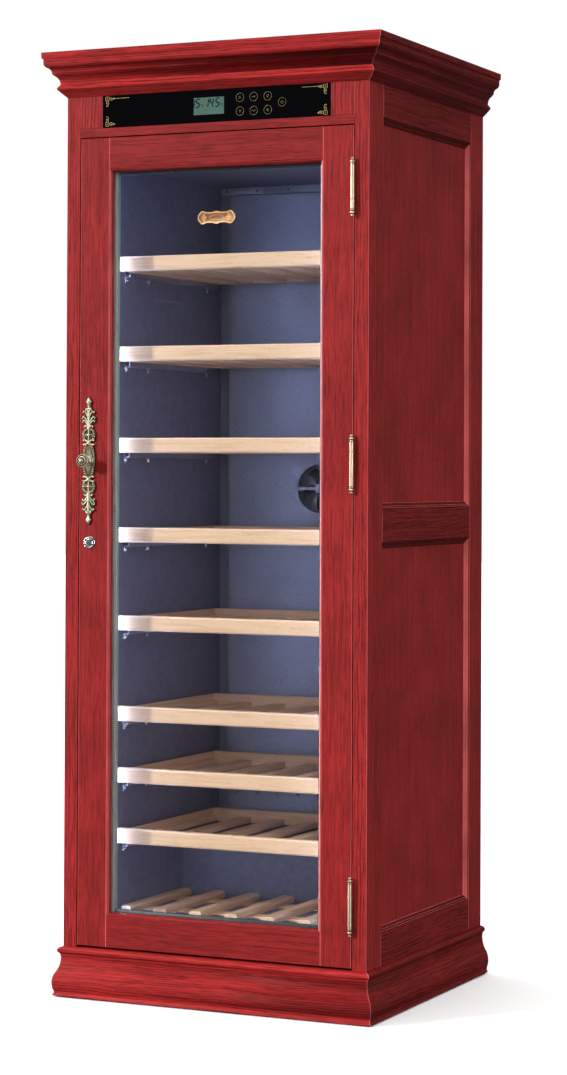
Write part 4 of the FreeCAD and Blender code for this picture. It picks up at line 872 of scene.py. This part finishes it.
bmesh.ops.create_uvsphere(relief, u_segments=32, v_segments=16, radius=mm,
                          matrix=Matrix.Translation(onPlate(0.0, 0.0))
                          @ Matrix.Diagonal((*handle["field"], 1.0)))
plateStrand([(x, z, 0.6) for x, z in roundPoints(20, *handle["rim"])], 0.9, True)
edgeX, edgeZ = handle["gadroon"]
for step in range(-handle["gadroonsEachWay"], handle["gadroonsEachWay"] + 1):
    rise = step * handle["gadroonPitch"]
    reach = edgeX * math.sqrt(1.0 - (rise / edgeZ) ** 2)
    for side in (1, -1):
        lean = math.atan2(rise / edgeZ ** 2, side * reach / edgeX ** 2)
        plateBead((side * reach, rise, 0.3), 1.55, (1.5, 1.2, 0.8), -lean)

for way in (1, -1):
    knot = way * handle["knot"]
    for lean in (1, -1):  # the second strand crosses under the first
        plateStrand([(x, knot + lean * z, lift if x else lift + 0.4 * lean)
                     for x, z, lift in handle["cross"]], 1.5)
        for side in (1, -1):
            plateBead((side * 11.6, knot + 4.6 * lean, 1.0), 2.1, (1.0, 0.9, 1.0))
    plateBead((0.0, knot, 2.2), 2.3, (1.0, 0.8, 1.0))

    middle = way * handle["round"]
    plateStrand([(x, middle + z, 0.5) for x, z in roundPoints(12, handle["ring"])], 1.2, True)
    for x, z in roundPoints(24, handle["ringBeads"]):
        plateBead((x, middle + z, 0.4), 1.4, (1.2, 1.0, 0.95), -math.atan2(z, x))
    plateStrand([(0.0, middle - 11.5, 0.5), (0.0, middle, 1.4), (0.0, middle + 11.5, 0.5)], 1.4)
    plateStrand([(-11.5, middle, 0.4), (0.0, middle, 1.2), (11.5, middle, 0.4)], 1.2)
    holeX, holeZ = handle["hole"]
    for side in (1, -1):
        for lift in (1, -1):
            plateStrand([(side * holeX + x, middle + lift * holeZ + z, 0.5)
                         for x, z in roundPoints(4, 5.6, 6.0)], 0.85, True)
    plateBead((0.0, middle, 1.6), 2.7, (1.0, 0.8, 1.0))

    plateStrand([(0.0, middle + way * z, lift, thick) for z, lift, thick in handle["stem"]], 1.7)
    for step in range(handle["stemBeads"]):
        plateBead((0.0, middle + way * (17.0 + 4.2 * step), 2.4 - 0.12 * step),
                  1.35 - 0.09 * step)
    for finger in handle["fingers"]:
        for side in (1, -1):
            plateStrand([(side * x, middle + way * z, 0.9, 1.25 - 0.14 * index)
                         for index, (x, z) in enumerate(finger)], 1.5)
            tipX, tipZ = finger[-1]
            plateBead((side * tipX, middle + way * tipZ, 1.1), 1.55)
    before = set(relief.verts)
    addTurning(relief, handle["crown"], onPlate(0.0, middle), (0, 0, way), 12)
    flatten(relief, before, plateFace, 0.5)
finishPiece(relief, "handleRelief", "door", ("antiquePlate", "antiqueShade"),
            smooth=38.0)

# Ringed knob: radius and reach in mm from the plate's face.
knobProfile = [(0.0, 0.0), (11.0, 0.0), (11.0, 1.2), (9.6, 2.8), (8.8, 2.8, 1), (6.4, 3.8),
               (5.0, 5.2), (4.3, 9.0), (4.4, 15.0), (5.6, 19.0), (8.8, 21.6), (12.4, 22.8),
               (13.7, 24.6), (14.0, 27.2), (13.7, 29.2), (12.8, 30.4), (12.0, 30.4),
               (11.5, 29.0, 1), (10.9, 28.2, 1), (9.9, 28.2, 1), (9.5, 29.4), (9.3, 31.2),
               (8.5, 32.2), (7.5, 32.3), (6.9, 31.4), (6.4, 30.2, 1), (5.0, 30.0, 1), (4.5, 31.0),
               (4.3, 33.2), (3.6, 35.2), (2.2, 36.2), (0.0, 36.5)]
knob = bmesh.new()
addTurning(knob, knobProfile, onPlate(0.0, 0.0), (0, -1, 0), 56)
finishPiece(knob, "handleKnob", "door", ("antiqueKnob", "antiqueShade"),
            "handle_knob")

# Lock rim and barrel, as one turned ring with its reach in mm from the back of the stile, and
# the wards in the plug's slot, from its middle.
lock = {"ring": [(6.05, 0.0), (9.0, 0.0), (9.0, 38.0), (13.5, 38.0), (13.5, 38.9), (12.7, 40.3),
                 (11.6, 40.9), (10.6, 40.9), (9.9, 40.2, 1), (8.8, 40.0, 1), (8.2, 40.7),
                 (7.4, 41.0), (6.5, 41.0), (6.1, 40.6)],
        "wards": [((-0.7, 1.0, -3.9), (0.7, 1.6, 3.9)), ((-0.75, 0.5, -3.9), (-0.2, 1.1, 0.4)),
                  ((0.25, 0.5, -0.6), (0.75, 1.1, 3.9))]}
lockMiddle = middleOf("lock_body")
lockRim = bmesh.new()
addTurning(lockRim, lock["ring"], (lockMiddle.x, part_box("lock_body")[1].y, lockMiddle.z),
           (0, -1, 0), 56, closed=True)
finishPiece(lockRim, "lockRim", "door", ("chrome", "chromeShade"), "lock_body")
keyWay = bmesh.new()
for low, high in lock["wards"]:
    addBlockAt(keyWay, (lockMiddle.x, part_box("lock_plug")[0].y, lockMiddle.z), low, high,
               0.0001, 1)
finishPiece(keyWay, "keyWards", "lock", ("chromeShade",))
print("stage: hinges, handle and lock")

# Gold print on the fascia: corner scrolls in mm from each corner, touch rings and their signs.
fascia = {"ringRadius": 9.0, "line": 0.31, "signLine": 0.26, "scrollLine": 0.42,
          "cornerBead": (11.5, 6.6, 1.1),
          "rings": [(58.7, 1886.0, "up"), (90.0, 1886.0, "key"), (122.0, 1885.6, "lamp"),
                    (154.6, 1871.5, "power"), (58.8, 1857.5, "down"), (90.2, 1857.0, "wave"),
                    (122.2, 1857.0, "fan")],
          "signs": {"up": [[(-3.0, -2.0), (0.0, 3.0), (3.0, -2.0), (-3.0, -2.0)]],
                    "down": [[(-3.0, 2.0), (0.0, -3.0), (3.0, 2.0), (-3.0, 2.0)]],
                    "key": [[(-3.4, 0.0), (1.0, 0.0)], [(-3.4, 0.0), (-3.4, -1.6)],
                            [(-1.8, 0.0), (-1.8, -1.4)],
                            [(1.0, 0.0), (2.2, 1.6), (3.8, 0.0), (2.2, -1.6), (1.0, 0.0)]],
                    "lamp": [[(-1.0, -3.0), (1.0, -3.0)], [(-1.0, -1.8), (-2.2, 0.4),
                             (-1.6, 2.4), (0.0, 3.2), (1.6, 2.4), (2.2, 0.4), (1.0, -1.8),
                             (-1.0, -1.8)]],
                    "power": [[(-1.6, 2.2), (-3.0, 0.4), (-2.6, -1.8), (0.0, -3.0),
                               (2.6, -1.8), (3.0, 0.4), (1.6, 2.2)], [(0.0, 3.6), (0.0, 0.4)]],
                    "wave": [[(-3.8, -0.6), (-2.6, 1.4), (-1.2, 0.0), (0.0, -1.4),
                              (1.4, 0.0), (2.6, 1.4), (3.8, -0.6)]],
                    "fan": [[(0.0, 0.0), (2.6, 1.2), (1.0, 3.2), (0.0, 0.0)],
                            [(0.0, 0.0), (-2.4, 1.8), (-3.2, -0.8), (0.0, 0.0)],
                            [(0.0, 0.0), (-0.4, -3.0), (2.4, -2.4), (0.0, 0.0)]]},
          "square": [(7.4, -2.6), (15.6, -2.6), (15.6, -10.6), (7.4, -10.6), (7.4, -2.6)],
          "scrolls": [[(15.6, -6.4), (18.6, -4.0), (22.0, -4.2), (23.0, -6.8), (20.8, -8.0),
                       (19.8, -6.2)],
                      [(16.6, -8.6), (21.0, -9.8), (25.0, -9.0), (28.4, -6.2), (27.0, -4.0),
                       (25.0, -5.2)],
                      [(22.6, -5.6), (26.0, -7.6), (29.6, -6.6)],
                      [(11.4, -10.6), (9.0, -13.6), (9.2, -17.0), (11.8, -18.0), (13.0, -15.8),
                       (11.2, -14.8)],
                      [(13.6, -11.6), (14.8, -16.0), (14.0, -20.0), (11.2, -23.4), (9.0, -22.0),
                       (10.2, -20.0)]],
          "topLine": [(28.6, -6.4), (64.0, -6.4)], "relief": 0.16}
fasciaLow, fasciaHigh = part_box("control_fascia")
fasciaFace = fasciaLow.y
prints = bmesh.new()


# A printed line from points in mm about a place, which may be counted the other way.
def printLine(points, x, z, width, order=3, closed=False, side=1, lift=1):
    addStrand(prints, [(x + side * u * mm, fasciaFace, z + lift * w * mm) for u, w in points],
              width * mm, order, closed, 4)


for x, z, sign in fascia["rings"]:
    x, z = x * mm, z * mm
    printLine(roundPoints(16, fascia["ringRadius"]), x, z, fascia["line"], closed=True)
    for line in fascia["signs"][sign]:
        printLine(line, x, z, fascia["signLine"], 2)
paint(prints, set(), 1)
before = set(prints.faces)
beadAcross, beadDown, beadRadius = fascia["cornerBead"]
for side, x in ((1, fasciaLow.x), (-1, fasciaHigh.x)):
    for lift, z in ((1, fasciaHigh.z), (-1, fasciaLow.z)):
        straight = [fascia["square"]] + ([fascia["topLine"]] if lift > 0 else [])
        for order, lines in ((2, straight), (3, fascia["scrolls"])):
            for line in lines:
                printLine(line, x, z, fascia["scrollLine"], order, False, side, lift)
        addBead(prints, (x + side * beadAcross * mm, fasciaFace, z - lift * beadDown * mm),
                beadRadius * mm)
paint(prints, before, 0)
flatten(prints, set(), fasciaFace, fascia["relief"])
finishPiece(prints, "fasciaPrint", "cabinet", ("goldPrint", "dimPrint"))

# Leaning figures in seven strokes, in the upper half of the display, in mm.
figures = {"strokes": {"a": ((0, 2), (1, 2)), "b": ((1, 2), (1, 1)), "c": ((1, 1), (1, 0)),
                       "d": ((0, 0), (1, 0)), "f": ((0, 2), (0, 1)), "g": ((0, 1), (1, 1))},
           "shapes": {"1": "bc", "4": "bcfg", "5": "acdfg"}, "width": 7.4, "height": 17.0,
           "lean": 0.18, "line": 1.45, "strokeGap": 0.7, "foot": 1870.0,
           "places": [("1", -55.4), ("5", -43.6), ("1", -23.2), ("4", -12.2), ("5", 1.6)],
           "point": -1.6, "pointRadius": 0.8, "degrees": (-31.4, 14.0),
           "degreeRing": (1.3, 5.4, 0.45), "degreeLine": 0.5,
           "degreeCurve": [(5.6, 4.2), (4.4, 5.2), (3.0, 4.0), (3.0, 1.6), (4.4, 0.4), (5.6, 1.4)],
           "relief": 0.14}
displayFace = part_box("display")[0].y
ink = bmesh.new()


def onDisplay(across, up):
    return Vector((across * mm, displayFace, (figures["foot"] + up) * mm))


for shape, left in figures["places"]:
    for stroke in figures["shapes"][shape]:
        ends = []
        for column, row in figures["strokes"][stroke]:
            up = row * figures["height"] / 2
            ends.append(onDisplay(left + column * figures["width"] + figures["lean"] * up, up))
        inward = (ends[1] - ends[0]).normalized() * figures["strokeGap"] * mm
        addStrand(ink, [ends[0] + inward, ends[1] - inward], figures["line"] * mm, 2)
addBead(ink, onDisplay(figures["point"], 0.0), figures["pointRadius"] * mm)
ringRadius, ringUp, ringLine = figures["degreeRing"]
for x in figures["degrees"]:
    addStrand(ink, [onDisplay(x + u, ringUp + w) for u, w in roundPoints(8, ringRadius)],
              ringLine * mm, closed=True)
    addStrand(ink, [onDisplay(x + u, w) for u, w in figures["degreeCurve"]],
              figures["degreeLine"] * mm)
flatten(ink, set(), displayFace, figures["relief"])
finishPiece(ink, "displayFigures", "cabinet", ("ink",))
softened("display", "displayWindow", "cabinet", ("displayGlass",), 0.0003, 1)

# Plaque: half the top edge in mm from the middle outwards, a rim round a sunk field with a bare
# middle, and a fan at each end.
plaque = {"edge": [(0.0, 13.6), (4.0, 13.0), (8.0, 11.2), (22.0, 10.8), (26.0, 12.0),
                   (30.0, 13.8), (34.0, 13.4), (37.2, 11.4), (38.8, 8.6), (41.8, 6.4),
                   (43.0, 3.2)],
          "thick": 2.0, "bevel": (0.4, 0.2), "rim": 1.8, "sink": 0.5, "petals": 7,
          "fanFoot": 24.5, "fanSpread": 66.0, "fanBead": 1.9,
          "petal": [(2.0, 0.5), (6.0, 0.9), (10.0, 1.2)], "budHeight": 9.6, "bud": 1.5,
          "spray": [(2.0, 9.6), (7.0, 8.6), (12.0, 9.4), (17.0, 7.6)], "oval": (16.0, 5.2),
          "relief": 0.45}
plaqueMesh = bmesh.new()
plaqueFace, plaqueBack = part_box("plaque")[0].y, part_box("plaque")[1].y
plaqueMiddle = middleOf("plaque")


def onPlaque(across, height, *thickness):
    return (plaqueMiddle.x + across * mm, plaqueFace + plaque["sink"] * mm,
            plaqueMiddle.z + height * mm, *thickness)


def plaqueStrand(points, radius, closed=False):
    addStrand(plaqueMesh, [onPlaque(*point) for point in points], radius * mm, closed=closed)


def insetFace(mesh, face, thickness, depth=0.0):
    bmesh.ops.inset_individual(mesh, faces=[face], thickness=thickness * mm, depth=depth * mm)


ring = plaque["edge"] + [(x, -z) for x, z in reversed(plaque["edge"])]
ring += [(-x, z) for x, z in reversed(ring[1:-1])]
corners = [plaqueMesh.verts.new((x * mm, plaqueBack, plaqueMiddle.z + z * mm)) for x, z in ring]
made = bmesh.ops.extrude_face_region(plaqueMesh, geom=[plaqueMesh.faces.new(corners)])["geom"]
front = [item for item in made if isinstance(item, bmesh.types.BMFace)][0]
bmesh.ops.translate(plaqueMesh, vec=(0.0, -plaque["thick"] * mm, 0.0), verts=front.verts)
bmesh.ops.recalc_face_normals(plaqueMesh, faces=plaqueMesh.faces)
bevelWidth, bevelDepth = plaque["bevel"]
insetFace(plaqueMesh, front, bevelWidth)
bmesh.ops.translate(plaqueMesh, vec=(0.0, -bevelDepth * mm, 0.0), verts=front.verts)
for vert in plaqueMesh.verts:
    vert.co.y = max(vert.co.y, plaqueBack - plaque["thick"] * mm)
insetFace(plaqueMesh, front, plaque["rim"])
insetFace(plaqueMesh, front, bevelWidth, -plaque["sink"])
before = {front}
vertsBefore = set(plaqueMesh.verts)
for side in (1, -1):
    for index in range(plaque["petals"]):
        share = 2.0 * index / (plaque["petals"] - 1) - 1.0
        turn = math.radians(plaque["fanSpread"] * share)
        plaqueStrand([(side * (plaque["fanFoot"] + reach * math.cos(turn)),
                       reach * math.sin(turn), thick) for reach, thick in plaque["petal"]], 0.75)
    addBead(plaqueMesh, onPlaque(side * plaque["fanFoot"], 0.0), plaque["fanBead"] * mm)
for lift in (1, -1):
    addBead(plaqueMesh, onPlaque(0.0, lift * plaque["budHeight"]), plaque["bud"] * mm)
    for side in (1, -1):
        plaqueStrand([(side * x, lift * z) for x, z in plaque["spray"]], 0.6)
plaqueStrand(roundPoints(16, *plaque["oval"]), 0.45, True)
flatten(plaqueMesh, vertsBefore, plaqueFace + plaque["sink"] * mm, plaque["relief"])
paint(plaqueMesh, before, 1)
finishPiece(plaqueMesh, "doorPlaque", "door", ("plaqueGold", "plaqueCrest"),
            "plaque", 30.0)
print("stage: fascia and plaque")

# Tabs under the slides with their screws, a row of small holes high on each wall, and the rail
# across the top of the back wall, in two lengths. Places in metres.
lining = {"screwPlaces": (-0.190, -0.088, 0.198), "tab": (0.0016, 0.0072, 0.0100, 0.0006),
          "tabDrop": 0.043, "tabScrew": (3.9, 2.4), "tabScrewDrop": 0.0054,
          "rail": (1.747, 1.763), "railThick": 0.007, "railEdge": 0.0012, "railGap": 0.001,
          "railJoint": -0.155, "jointGap": 0.0008, "railScrew": (2.6, 1.4),
          "railScrews": (0.15, 0.85), "holes": (-0.060, 0.070, 14, 1.488),
          "hole": [(1.9, 0.0), (1.8, 0.35), (1.3, 0.4), (1.1, 0.1), (0.0, 0.05, 1)]}
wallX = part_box("light_strips")[1].x
tabThick, tabHalf, tabTall, tabEdge = lining["tab"]
tabs = bmesh.new()
for number in rackNumbers:
    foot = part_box("rack_%d" % number)[1].z - lining["tabDrop"]
    for side in (1, -1):
        x0, x1 = sorted((side * wallX, side * (wallX - tabThick)))
        for y in lining["screwPlaces"]:
            addBlock(tabs, (x0, y - tabHalf, foot - tabTall), (x1, y + tabHalf, foot + mm), tabEdge)
            addScrew(tabs, (side * (wallX - tabThick), y, foot - lining["tabScrewDrop"]),
                     (-side, 0, 0), *lining["tabScrew"])
finishPiece(tabs, "slideTabs", "cabinet", ("screw", "holePaintedShade"))

holes = bmesh.new()
firstY, lastY, count, height = lining["holes"]
for side in (1, -1):
    for index in range(count):
        y = firstY + (lastY - firstY) * index / (count - 1)
        addTurning(holes, lining["hole"], (side * wallX, y, height), (-side, 0, 0), 10)
# the holes' floors take painted shade
finishPiece(holes, "wallHoles", "cabinet", ("slide", "holePaintedShade"))

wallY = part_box("liner_back")[0].y
railFace = wallY - lining["railThick"]
railLow, railHigh = lining["rail"]
railEnd = wallX - lining["railGap"]
rail = bmesh.new()
for x0, x1 in ((-railEnd, lining["railJoint"] - lining["jointGap"]),
               (lining["railJoint"], railEnd)):
    addBlock(rail, (x0, railFace, railLow), (x1, wallY, railHigh), lining["railEdge"])
    for share in lining["railScrews"]:
        addScrew(rail, (x0 + share * (x1 - x0), railFace, (railLow + railHigh) / 2), (0, -1, 0),
                 *lining["railScrew"], 1)
finishPiece(rail, "backWallRail", "cabinet", ("wallRail", "screw", "holePaintedShade"))

# Fan wheels: hub and swept blades that lean less towards the tip, in mm and degrees.
wheel = {"blades": 5, "root": 15.5, "tip": 47.6, "chord": (18.0, 27.0), "pitch": (46.0, 27.0),
         "sweep": 16.0, "camber": 1.6, "thickness": 1.3, "depth": 16.0, "margin": 0.6,
         "hub": [(0.0, 0.0), (14.6, 0.0), (16.6, 1.4), (16.6, 13.6), (15.2, 15.2), (12.6, 16.0),
                 (4.5, 16.0), (4.0, 15.0), (0.0, 15.0)]}


def between(ends, share):
    return ends[0] + share * (ends[1] - ends[0])


def addFanWheel(mesh, centre, axis):
    addTurning(mesh, wheel["hub"], centre, axis, 36)
    axis, side, other = crossDirections(axis)
    depth, margin = wheel["depth"], wheel["margin"]
    for index in range(wheel["blades"]):
        made = bmesh.ops.create_grid(mesh, x_segments=8, y_segments=5, size=0.5)
        for vert in made["verts"]:
            share, across = vert.co.x + 0.5, vert.co.y
            radius = between((wheel["root"], wheel["tip"]), share)
            chord = across * between(wheel["chord"], share)
            pitch = math.radians(between(wheel["pitch"], share))
            turn = math.radians(wheel["sweep"] * share ** 2) + chord * math.cos(pitch) / radius
            turn += math.tau * index / wheel["blades"]
            lift = chord * math.sin(pitch) + wheel["camber"] * (1.0 - 4.0 * across ** 2)
            along = min(max(depth / 2 + lift, margin), depth - margin)
            vert.co = Vector(centre) + (side * math.cos(turn) * radius
                                        + other * math.sin(turn) * radius + axis * along) * mm
        faces = list({face for vert in made["verts"] for face in vert.link_faces})
        bmesh.ops.solidify(mesh, geom=faces, thickness=wheel["thickness"] * mm)


for nodeName, pieceName, body, centre, axis in (
        ("circulation_fan", "ductFanWheel", "cooling_fan", (0.0, 0.2613, 1.075), (0, -1, 0)),
        ("condenser_fan", "condenserFanWheel", "rear_fan", (0.1283, 0.225, 0.166), (1, 0, 0))):
    fan = bmesh.new()
    addFanWheel(fan, centre, axis)
    finishPiece(fan, pieceName, body, ("blackPlastic",), nodeName)

# Charcoal filter cap: rings, slots and a finger grip, in mm from its foot on the wall.
charcoal = {"place": (0.120, 1.680), "slots": 20,
            "profile": [(0.0, 0.0), (34.0, 0.0), (34.0, 11.0), (32.8, 13.2), (31.0, 14.0),
                        (29.4, 14.0), (28.8, 12.8, 1), (27.8, 12.8, 1), (27.2, 14.0),
                        (17.6, 14.0), (17.0, 13.0, 1), (16.2, 13.0, 1), (15.6, 14.0), (0.0, 14.0)],
            "slot": ((-14.06, -0.8, 19.4), (-13.0, 0.8, 25.4)),
            "grip": ((-21.0, -13.0, -2.5), (-13.5, 13.0, 2.5)), "gripEdge": 0.0018}
filterMesh = bmesh.new()
filterFoot = (wallX, *charcoal["place"])
addTurning(filterMesh, charcoal["profile"], filterFoot, (-1, 0, 0), 48)
before = set(filterMesh.faces)
for index in range(charcoal["slots"]):
    turn = Matrix.Rotation(math.tau * index / charcoal["slots"], 4, "X")
    addBlockAt(filterMesh, Matrix.Translation(filterFoot) @ turn, *charcoal["slot"])
# the slots are blocks in painted shade
paint(filterMesh, before, 1)
addBlockAt(filterMesh, filterFoot, *charcoal["grip"], charcoal["gripEdge"], 3)
finishPiece(filterMesh, "charcoalFilter", "cabinet",
            ("whitePlastic", "holePaintedShade"), "charcoal_filter")

# Levelling feet: ribbed pad, lock nut and threaded stem.
feet = {"across": 0.2545, "front": -0.210, "back": 0.276, "height": 88.0, "thread": 3.0,
        "threads": 23, "pad": [(0.0, 0.0), (18.4, 0.0), (20.0, 1.6), (20.0, 6.4), (19.0, 7.4),
                               (18.6, 8.6), (15.0, 10.0), (9.0, 10.0), (9.0, 15.0), (6.0, 15.6)]}
footProfile = list(feet["pad"])
for index in range(feet["threads"]):
    rise = feet["thread"] * index
    footProfile += [(5.3, 16.5 + rise), (6.0, 18.0 + rise)]
footProfile += [(6.0, feet["height"]), (0.0, feet["height"])]
footMesh = bmesh.new()
for x in (-feet["across"], feet["across"]):
    for y in (feet["front"], feet["back"]):
        addTurning(footMesh, footProfile, (x, y, 0.0), (0, 0, 1), 24)
finishPiece(footMesh, "levellingFeet", "cabinet", ("blackPlastic",),
            "levelling_feet")

# Compressor: welded can on its plate, rubber mounts and a terminal cover, in mm from the
# middle of its foot.
compressor = {"profile": [(0.0, 3.0), (58.0, 3.0), (62.6, 8.0), (64.4, 16.0), (64.4, 60.0),
                          (66.0, 61.4), (66.0, 65.0), (64.4, 66.4), (64.4, 106.0),
                          (62.0, 117.0), (54.0, 127.0), (40.0, 134.0), (20.0, 137.4),
                          (0.0, 138.0)],
              "plateHalf": 55.0, "plateThick": 4.0, "mounts": (0.072, 0.042),
              "mount": [(9.0, 4.0), (9.0, 9.0), (6.0, 10.0), (6.0, 13.0), (3.0, 14.0, 1),
                        (0.0, 14.0, 1)],
              "cover": ((60.0, -20.0, 40.0), (81.0, 20.0, 88.0))}
canLow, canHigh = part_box("compressor")
canFoot = Vector(((canLow.x + canHigh.x) / 2, (canLow.y + canHigh.y) / 2, canLow.z))
plateReach, plateHalf = (canHigh.x - canLow.x) / 2 / mm, compressor["plateHalf"]
can = bmesh.new()
addTurning(can, compressor["profile"], canFoot, (0, 0, 1), 56)
addBlockAt(can, canFoot, (-plateReach, -plateHalf, 0.0),
           (plateReach, plateHalf, compressor["plateThick"]), 0.0012)
mountX, mountY = compressor["mounts"]
for side in (1, -1):
    for depth in (1, -1):
        addTurning(can, compressor["mount"], canFoot + Vector((side * mountX, depth * mountY, 0.0)),
                   (0, 0, 1), 20)
addBlockAt(can, canFoot, *compressor["cover"], 0.003, 3)
finishPiece(can, "compressorCan", "cabinet", ("blackSteel", "screw"),
            "compressor")

# Condenser: thin fins on a pipe that runs to and fro, in metres.
condenser = {"fins": 34, "finMargin": 0.010, "finHalf": 0.0004, "pipeInset": 0.016, "runs": 5,
             "firstRun": 0.014, "runPitch": 0.023, "pipeMargin": 0.006, "pipeRadius": 0.0035}
coilLow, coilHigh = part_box("condenser")
coil = bmesh.new()
finEnds = (coilLow.y + condenser["finMargin"], coilHigh.y - condenser["finMargin"])
for index in range(condenser["fins"]):
    y = between(finEnds, index / (condenser["fins"] - 1))
    addBlock(coil, (coilLow.x, y - condenser["finHalf"], coilLow.z),
             (coilHigh.x, y + condenser["finHalf"], coilHigh.z))
before = set(coil.faces)
pipeEnds = (coilLow.y + condenser["pipeMargin"], coilHigh.y - condenser["pipeMargin"])
for x in (coilLow.x + condenser["pipeInset"], coilHigh.x - condenser["pipeInset"]):
    route = []
    for index in range(condenser["runs"]):
        z = coilLow.z + condenser["firstRun"] + condenser["runPitch"] * index
        route += [(x, pipeEnds[index % 2], z), (x, pipeEnds[(index + 1) % 2], z)]
    addStrand(coil, route, condenser["pipeRadius"])
paint(coil, before, 1)
finishPiece(coil, "condenserCoil", "cabinet", ("blackSteel", "copper"),
            "condenser")
print("stage: fittings made")

nodeFinish = {
    "base_board": "board", "liner_walls": "liner", "liner_back": "stucco", "insulation": "foam",
    "light_strips": "strip", "evaporator_plate": "mill", "condenser_fan_frame": "blackPlastic",
    "refrigerant_pipe": "copper", "power_inlet": "blackPlastic", "slide_rails": "slide",
    "control_box": "blackPlastic", "outer_glass": "glass", "inner_glass": "glass",
}
nodeFinish.update(("runner_%d" % number, "slide") for number in rackNumbers)
for nodeName, key in nodeFinish.items():
    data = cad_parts[nodeName].data
    data.materials.clear()
    data.materials.append(finishes[key])
print("stage: nodes finished")
